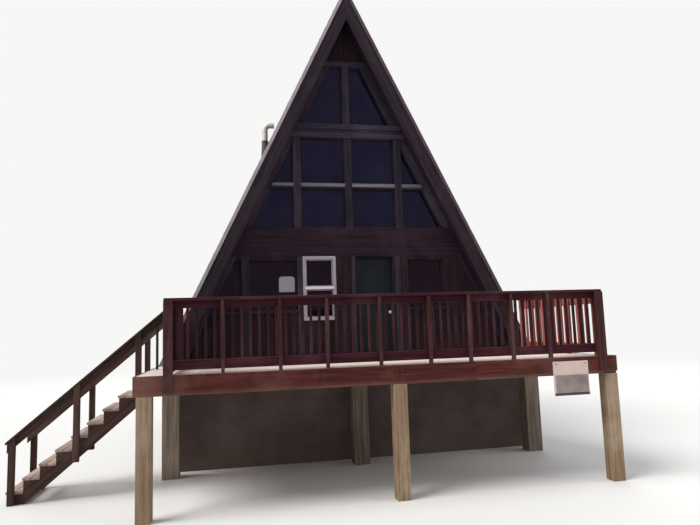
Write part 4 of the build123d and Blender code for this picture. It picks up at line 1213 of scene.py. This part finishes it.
def door_fittings():
    """Mouldings round the two fields of the door, riding on it, and screws in the hinges."""
    low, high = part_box("entry_door")
    knob_low, knob_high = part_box("door_knob")
    middle = (knob_low.z + knob_high.z) / 2
    x0, x1 = low.x + DOOR_STILE, high.x - DOOR_STILE
    mesh = bmesh.new()
    for z0, z1 in ((low.z + DOOR_STILE, middle - DOOR_STILE), (middle + DOOR_STILE, high.z - DOOR_STILE)):
        field = rectangle(x0, x1, z0, z1)
        mitred_frame(mesh, field, MOULDING_WIDTH, low.y - MOULDING_PROUD, low.y + MOULDING_DEPTH)
    timber("door_mouldings", mesh, DOOR_PAINT, "door_paint", 71, soften=0.003, body="door")

    screws = bmesh.new()
    for hinge_low, hinge_high in solid_boxes("door_hinges"):
        for share in HINGE_SCREW_SHARES:
            z = hinge_low.z + (hinge_high.z - hinge_low.z) * share
            place = Vector((hinge_low.x + HINGE_SCREW_INSET, hinge_low.y + HINGE_LEAF, z))
            dome(screws, place, BACK, radius=0.005, height=0.0015)
    add_piece("hinge_screws", screws, FIXING_METAL, "hardware")


# Bolts, nails and sign

def heads(mesh, places, levels, **size):
    """Domed heads on the front of the deck, at each place and each level."""
    for x in places:
        for z in levels:
            dome(mesh, Vector((x, DECK_FRONT, z)), -BACK, **size)


def fascia_levels(levels):
    return [level + (FASCIA_LOW if level > 0 else DECK) for level in levels]


def fixings():
    """Bolt and nail heads on the railing, the front posts and the fascia."""
    mesh = bmesh.new()
    rail_bolts = [DECK + BOTTOM_RAIL_RISE + rise for rise in BOTTOM_RAIL_BOLTS]
    rail_bolts.insert(0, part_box("front_railing")[1].z - TOP_BOARD_BOLT)
    heads(mesh, front_rail_places()[1:-1], rail_bolts, radius=0.009, height=0.004)
    posts = solid_boxes("front_posts")
    places = [low.x + (high.x - low.x) * share for low, high in posts for share in POST_BOLT_SHARES]
    heads(mesh, places, fascia_levels(POST_BOLT_LEVELS), radius=0.013, height=0.006, count=6)
    places = [joint + step for joint in FASCIA_JOINTS for step in (-JOINT_NAIL_STEP, JOINT_NAIL_STEP)]
    heads(mesh, places, fascia_levels(JOINT_NAIL_LEVELS), radius=0.006, height=0.002)
    places = [x + JOIST_NAIL_STEP for x in joist_lines()]
    heads(mesh, places, fascia_levels(JOIST_NAIL_LEVELS), radius=0.006, height=0.002)
    add_piece("deck_fixings", mesh, FIXING_METAL, "hardware")


def sign():
    """A bare board with a darker lower field and foot, hung on two screws."""
    low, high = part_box("sign_board")
    split = high.z - (high.z - low.z) * SIGN_PALE_SHARE
    field = low.y + SIGN_FIELD_THICK
    panel = (low.x, high.x, low.y + SIGN_PROUD, high.y, low.z, high.z)
    lower_field = (
        low.x + SIGN_FIELD_LEFT, high.x - SIGN_FIELD_RIGHT, low.y, field, low.z + SIGN_FIELD_RISE, split,
    )
    foot = (
        low.x + SIGN_FOOT_INSET, high.x - SIGN_FOOT_INSET, low.y, field,
        low.z + SIGN_FOOT_RISE, low.z + SIGN_FOOT_TOP,
    )
    for name, box, material, seed, soften, stands_for in (
        ("sign_panel", panel, SIGN_PALE, 81, 0.004, ("sign_board",)),
        ("sign_lower_field", lower_field, SIGN_GREY, 82, 0.001, ()),
        ("sign_foot", foot, SIGN_DARK, 83, 0.001, ()),
    ):
        mesh = bmesh.new()
        block(mesh, *box)
        timber(name, mesh, material, "board_white", seed, soften, stands_for=stands_for)
    screws = bmesh.new()
    for x in (low.x + SIGN_SCREW_INSET, high.x - SIGN_SCREW_INSET):
        place = Vector((x, low.y + SIGN_PROUD, high.z - SIGN_SCREW_DROP))
        dome(screws, place, -BACK, radius=0.011, height=0.003)
    add_piece("sign_screws", screws, FIXING_METAL, "hardware")


# The object

front_cladding()
peak_boards()
back_cladding()
window_beads()
window_rail()
white_window_sashes()
shingles()
soffit_boards()
ridge_screws()
vent()
floor_skirts()
decking()
fascia()
front_railing()
# The right railing takes the copy of the stain with painted sunlight.
side_railing("right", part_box("right_railing")[1].x, RIGHT_BOARD_DEPTH, (STAIN_PAINTED_SUNLIGHT, STAIN_PAINTED_SUNLIGHT, STAIN_PAINTED_SUNLIGHT), 54)
side_railing("left", -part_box("left_railing")[0].x, TOP_BOARD_DEPTH, (RAIL_BOARDS, RAIL_POSTS, BALUSTERS), 57)
treads()
stair_rails()
door_fittings()
fixings()
sign()

# CAD nodes with softened edges and a grain
dressed_seed = 100
for material, slot, nodes in (
    (RAKE, "stained_trim", ("front_rake_boards", "back_rake_boards")),
    (TRIM, "stained_trim", ("floor_band", "back_band")),
    (TRIM_UPPER, "stained_trim", ("upper_posts", "gable_studs", "collar_beams")),
    (TRIM, "stained_trim", ("window_sills", "door_jambs", "door_head", "threshold", "back_window_frames")),
    (POST, "post_wood", ("front_posts",)),
    # Rear posts in the copy of the post wood with painted shade.
    (POST_PAINTED_SHADE, "post_wood", ("rear_posts",)),
    (FRAMING, "post_wood", ("deck_beams", "deck_joists")),
):
    for node in nodes:
        dressed(node, material, slot, dressed_seed)
        dressed_seed += 1

# CAD nodes that stay as they are
for material, nodes in (
    # Walls behind the boards, in the darker siding copy with painted shade.
    (SIDING_BEHIND_PAINTED_SHADE, ("front_wall_left", "front_wall_right", "peak_panel")),
    (SIDING_BEHIND_PAINTED_SHADE, ("back_wall_lower", "back_wall_upper")),
    (INTERIOR, ("roof_left", "roof_right")),
    (FOUNDATION, ("foundation_front", "foundation_back", "foundation_sides")),
    (FLOORING, ("main_floor", "upper_floor")),
    # The left flashings carry painted sunlight; the right flashings and the ridge cap carry painted shade.
    (EDGE_METAL_PAINTED_SUNLIGHT, ("left_edge_flashings",)),
    (DARK_METAL_PAINTED_SHADE, ("right_edge_flashings", "ridge_cap")),
    (GABLE_GLASS, ("gable_glass",)),
    (WINDOW_GLASS, ("ground_floor_glass", "back_glass")),
    (DOOR_PAINT, ("entry_door",)),
    (KNOB_METAL, ("door_knob",)),
    (FIXING_METAL, ("door_hinges",)),
    (CARD, ("window_notice",)),
):
    for node in nodes:
        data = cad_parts[node].data
        data.materials.clear()
        data.materials.append(material)


# Floor, light and camera

BACKDROP = (0.93, 0.93, 0.92)
SOFT_LIGHT = (0.92, 0.95, 1.0)
SOFT_STRENGTH = 0.42
FLOOR_COLOUR = (0.80, 0.80, 0.79)
FLOOR_CENTRE = (0, 3, 0)
FLOOR_REACH = 150
FLOOR_FADE = (14.0, 32.0)


def seen_directly(tree):
    """1 for a ray from the camera, or one that glass or a sheen sends on."""
    path = add(tree, "ShaderNodeLightPath")
    seen = maths("MAXIMUM", path.outputs["Is Camera Ray"], path.outputs["Is Transmission Ray"])
    return maths("MAXIMUM", seen, path.outputs["Is Glossy Ray"])


def backdrop_world():
    """A pale surround for the camera, glass and metal, and a soft even light for the rest."""
    world = bpy.data.worlds.new("studio")
    bpy.context.scene.world = world
    world.use_nodes = True
    tree = world.node_tree
    tree.nodes.clear()
    soft = add(tree, "ShaderNodeBackground", {"Color": SOFT_LIGHT, "Strength": SOFT_STRENGTH})
    pale = add(tree, "ShaderNodeBackground", {"Color": BACKDROP, "Strength": 1.0})
    mix = add(tree, "ShaderNodeMixShader", {0: seen_directly(tree), 1: soft.outputs[0], 2: pale.outputs[0]})
    add(tree, "ShaderNodeOutputWorld", {0: mix.outputs[0]})


def studio_floor():
    """A plain floor that keeps the object's shadow and fades into the backdrop."""
    material, tree, place = new_material("studio_floor")
    surface(tree, {"Base Color": FLOOR_COLOUR, "Roughness": 0.9, "Specular IOR Level": 0.1})
    glow = add(tree, "ShaderNodeEmission", {"Color": BACKDROP, "Strength": 1.0})
    away = add(tree, "ShaderNodeVectorMath", {0: place}, operation="LENGTH").outputs["Value"]
    share = maths("MULTIPLY", spread(away, *FLOOR_FADE), seen_directly(tree))
    plain = tree.nodes["Principled BSDF"].outputs[0]
    mix = add(tree, "ShaderNodeMixShader", {0: share, 1: plain, 2: glow.outputs[0]})
    feed(tree.nodes["Material Output"], {0: mix.outputs[0]})
    reach = FLOOR_REACH
    data = bpy.data.meshes.new("studio_floor")
    corners = [(x, y, 0) for x, y in rectangle(-reach, reach, -reach, reach)]
    data.from_pydata(corners, [], [range(4)])
    data.materials.append(material)
    floor = bpy.data.objects.new("studio_floor", data)
    floor.location = FLOOR_CENTRE
    bpy.context.scene.collection.objects.link(floor)


def lamp(name, strength, azimuth, elevation, softness, colour=(1, 1, 1)):
    """A distant light from an azimuth (0 is the front, positive to the right) and elevation, in degrees."""
    data = bpy.data.lights.new(name, "SUN")
    data.energy = strength
    data.angle = math.radians(softness)
    data.color = colour
    light = bpy.data.objects.new(name, data)
    turn, lift = math.radians(azimuth), math.radians(elevation)
    source = Vector((math.sin(turn) * math.cos(lift), -math.cos(turn) * math.cos(lift), math.sin(lift)))
    light.rotation_euler = source.to_track_quat("Z", "Y").to_euler()
    bpy.context.scene.collection.objects.link(light)


def photo_camera():
    """The camera of the photograph."""
    level = Vector((math.sin(CAMERA_YAW), math.cos(CAMERA_YAW), 0))
    ahead = level * math.cos(CAMERA_PITCH) + UP * math.sin(CAMERA_PITCH)
    right = Vector((math.cos(CAMERA_YAW), -math.sin(CAMERA_YAW), 0))
    up = right.cross(ahead)
    turned_right = right * math.cos(CAMERA_ROLL) + up * math.sin(CAMERA_ROLL)
    turned_up = up * math.cos(CAMERA_ROLL) - right * math.sin(CAMERA_ROLL)
    data = bpy.data.cameras.new("photo_camera")
    data.sensor_fit = "HORIZONTAL"
    data.sensor_width = SENSOR_WIDTH
    data.lens = SENSOR_WIDTH * CAMERA_FOCAL / PHOTO_WIDTH
    data.clip_end = 500
    camera = bpy.data.objects.new("photo_camera", data)
    axes = Matrix((turned_right, turned_up, -ahead)).transposed().to_4x4()
    camera.matrix_world = Matrix.Translation(CAMERA_PLACE) @ axes
    bpy.context.scene.collection.objects.link(camera)
    bpy.context.scene.camera = camera


backdrop_world()
studio_floor()
lamp("key_light", strength=2.9, azimuth=-78, elevation=52, softness=35, colour=(1.0, 0.97, 0.93))
lamp("fill_light", strength=0.6, azimuth=70, elevation=30, softness=40)
lamp("back_light", strength=0.7, azimuth=165, elevation=38, softness=50)
photo_camera()
bpy.context.scene.view_settings.view_transform = "Standard"
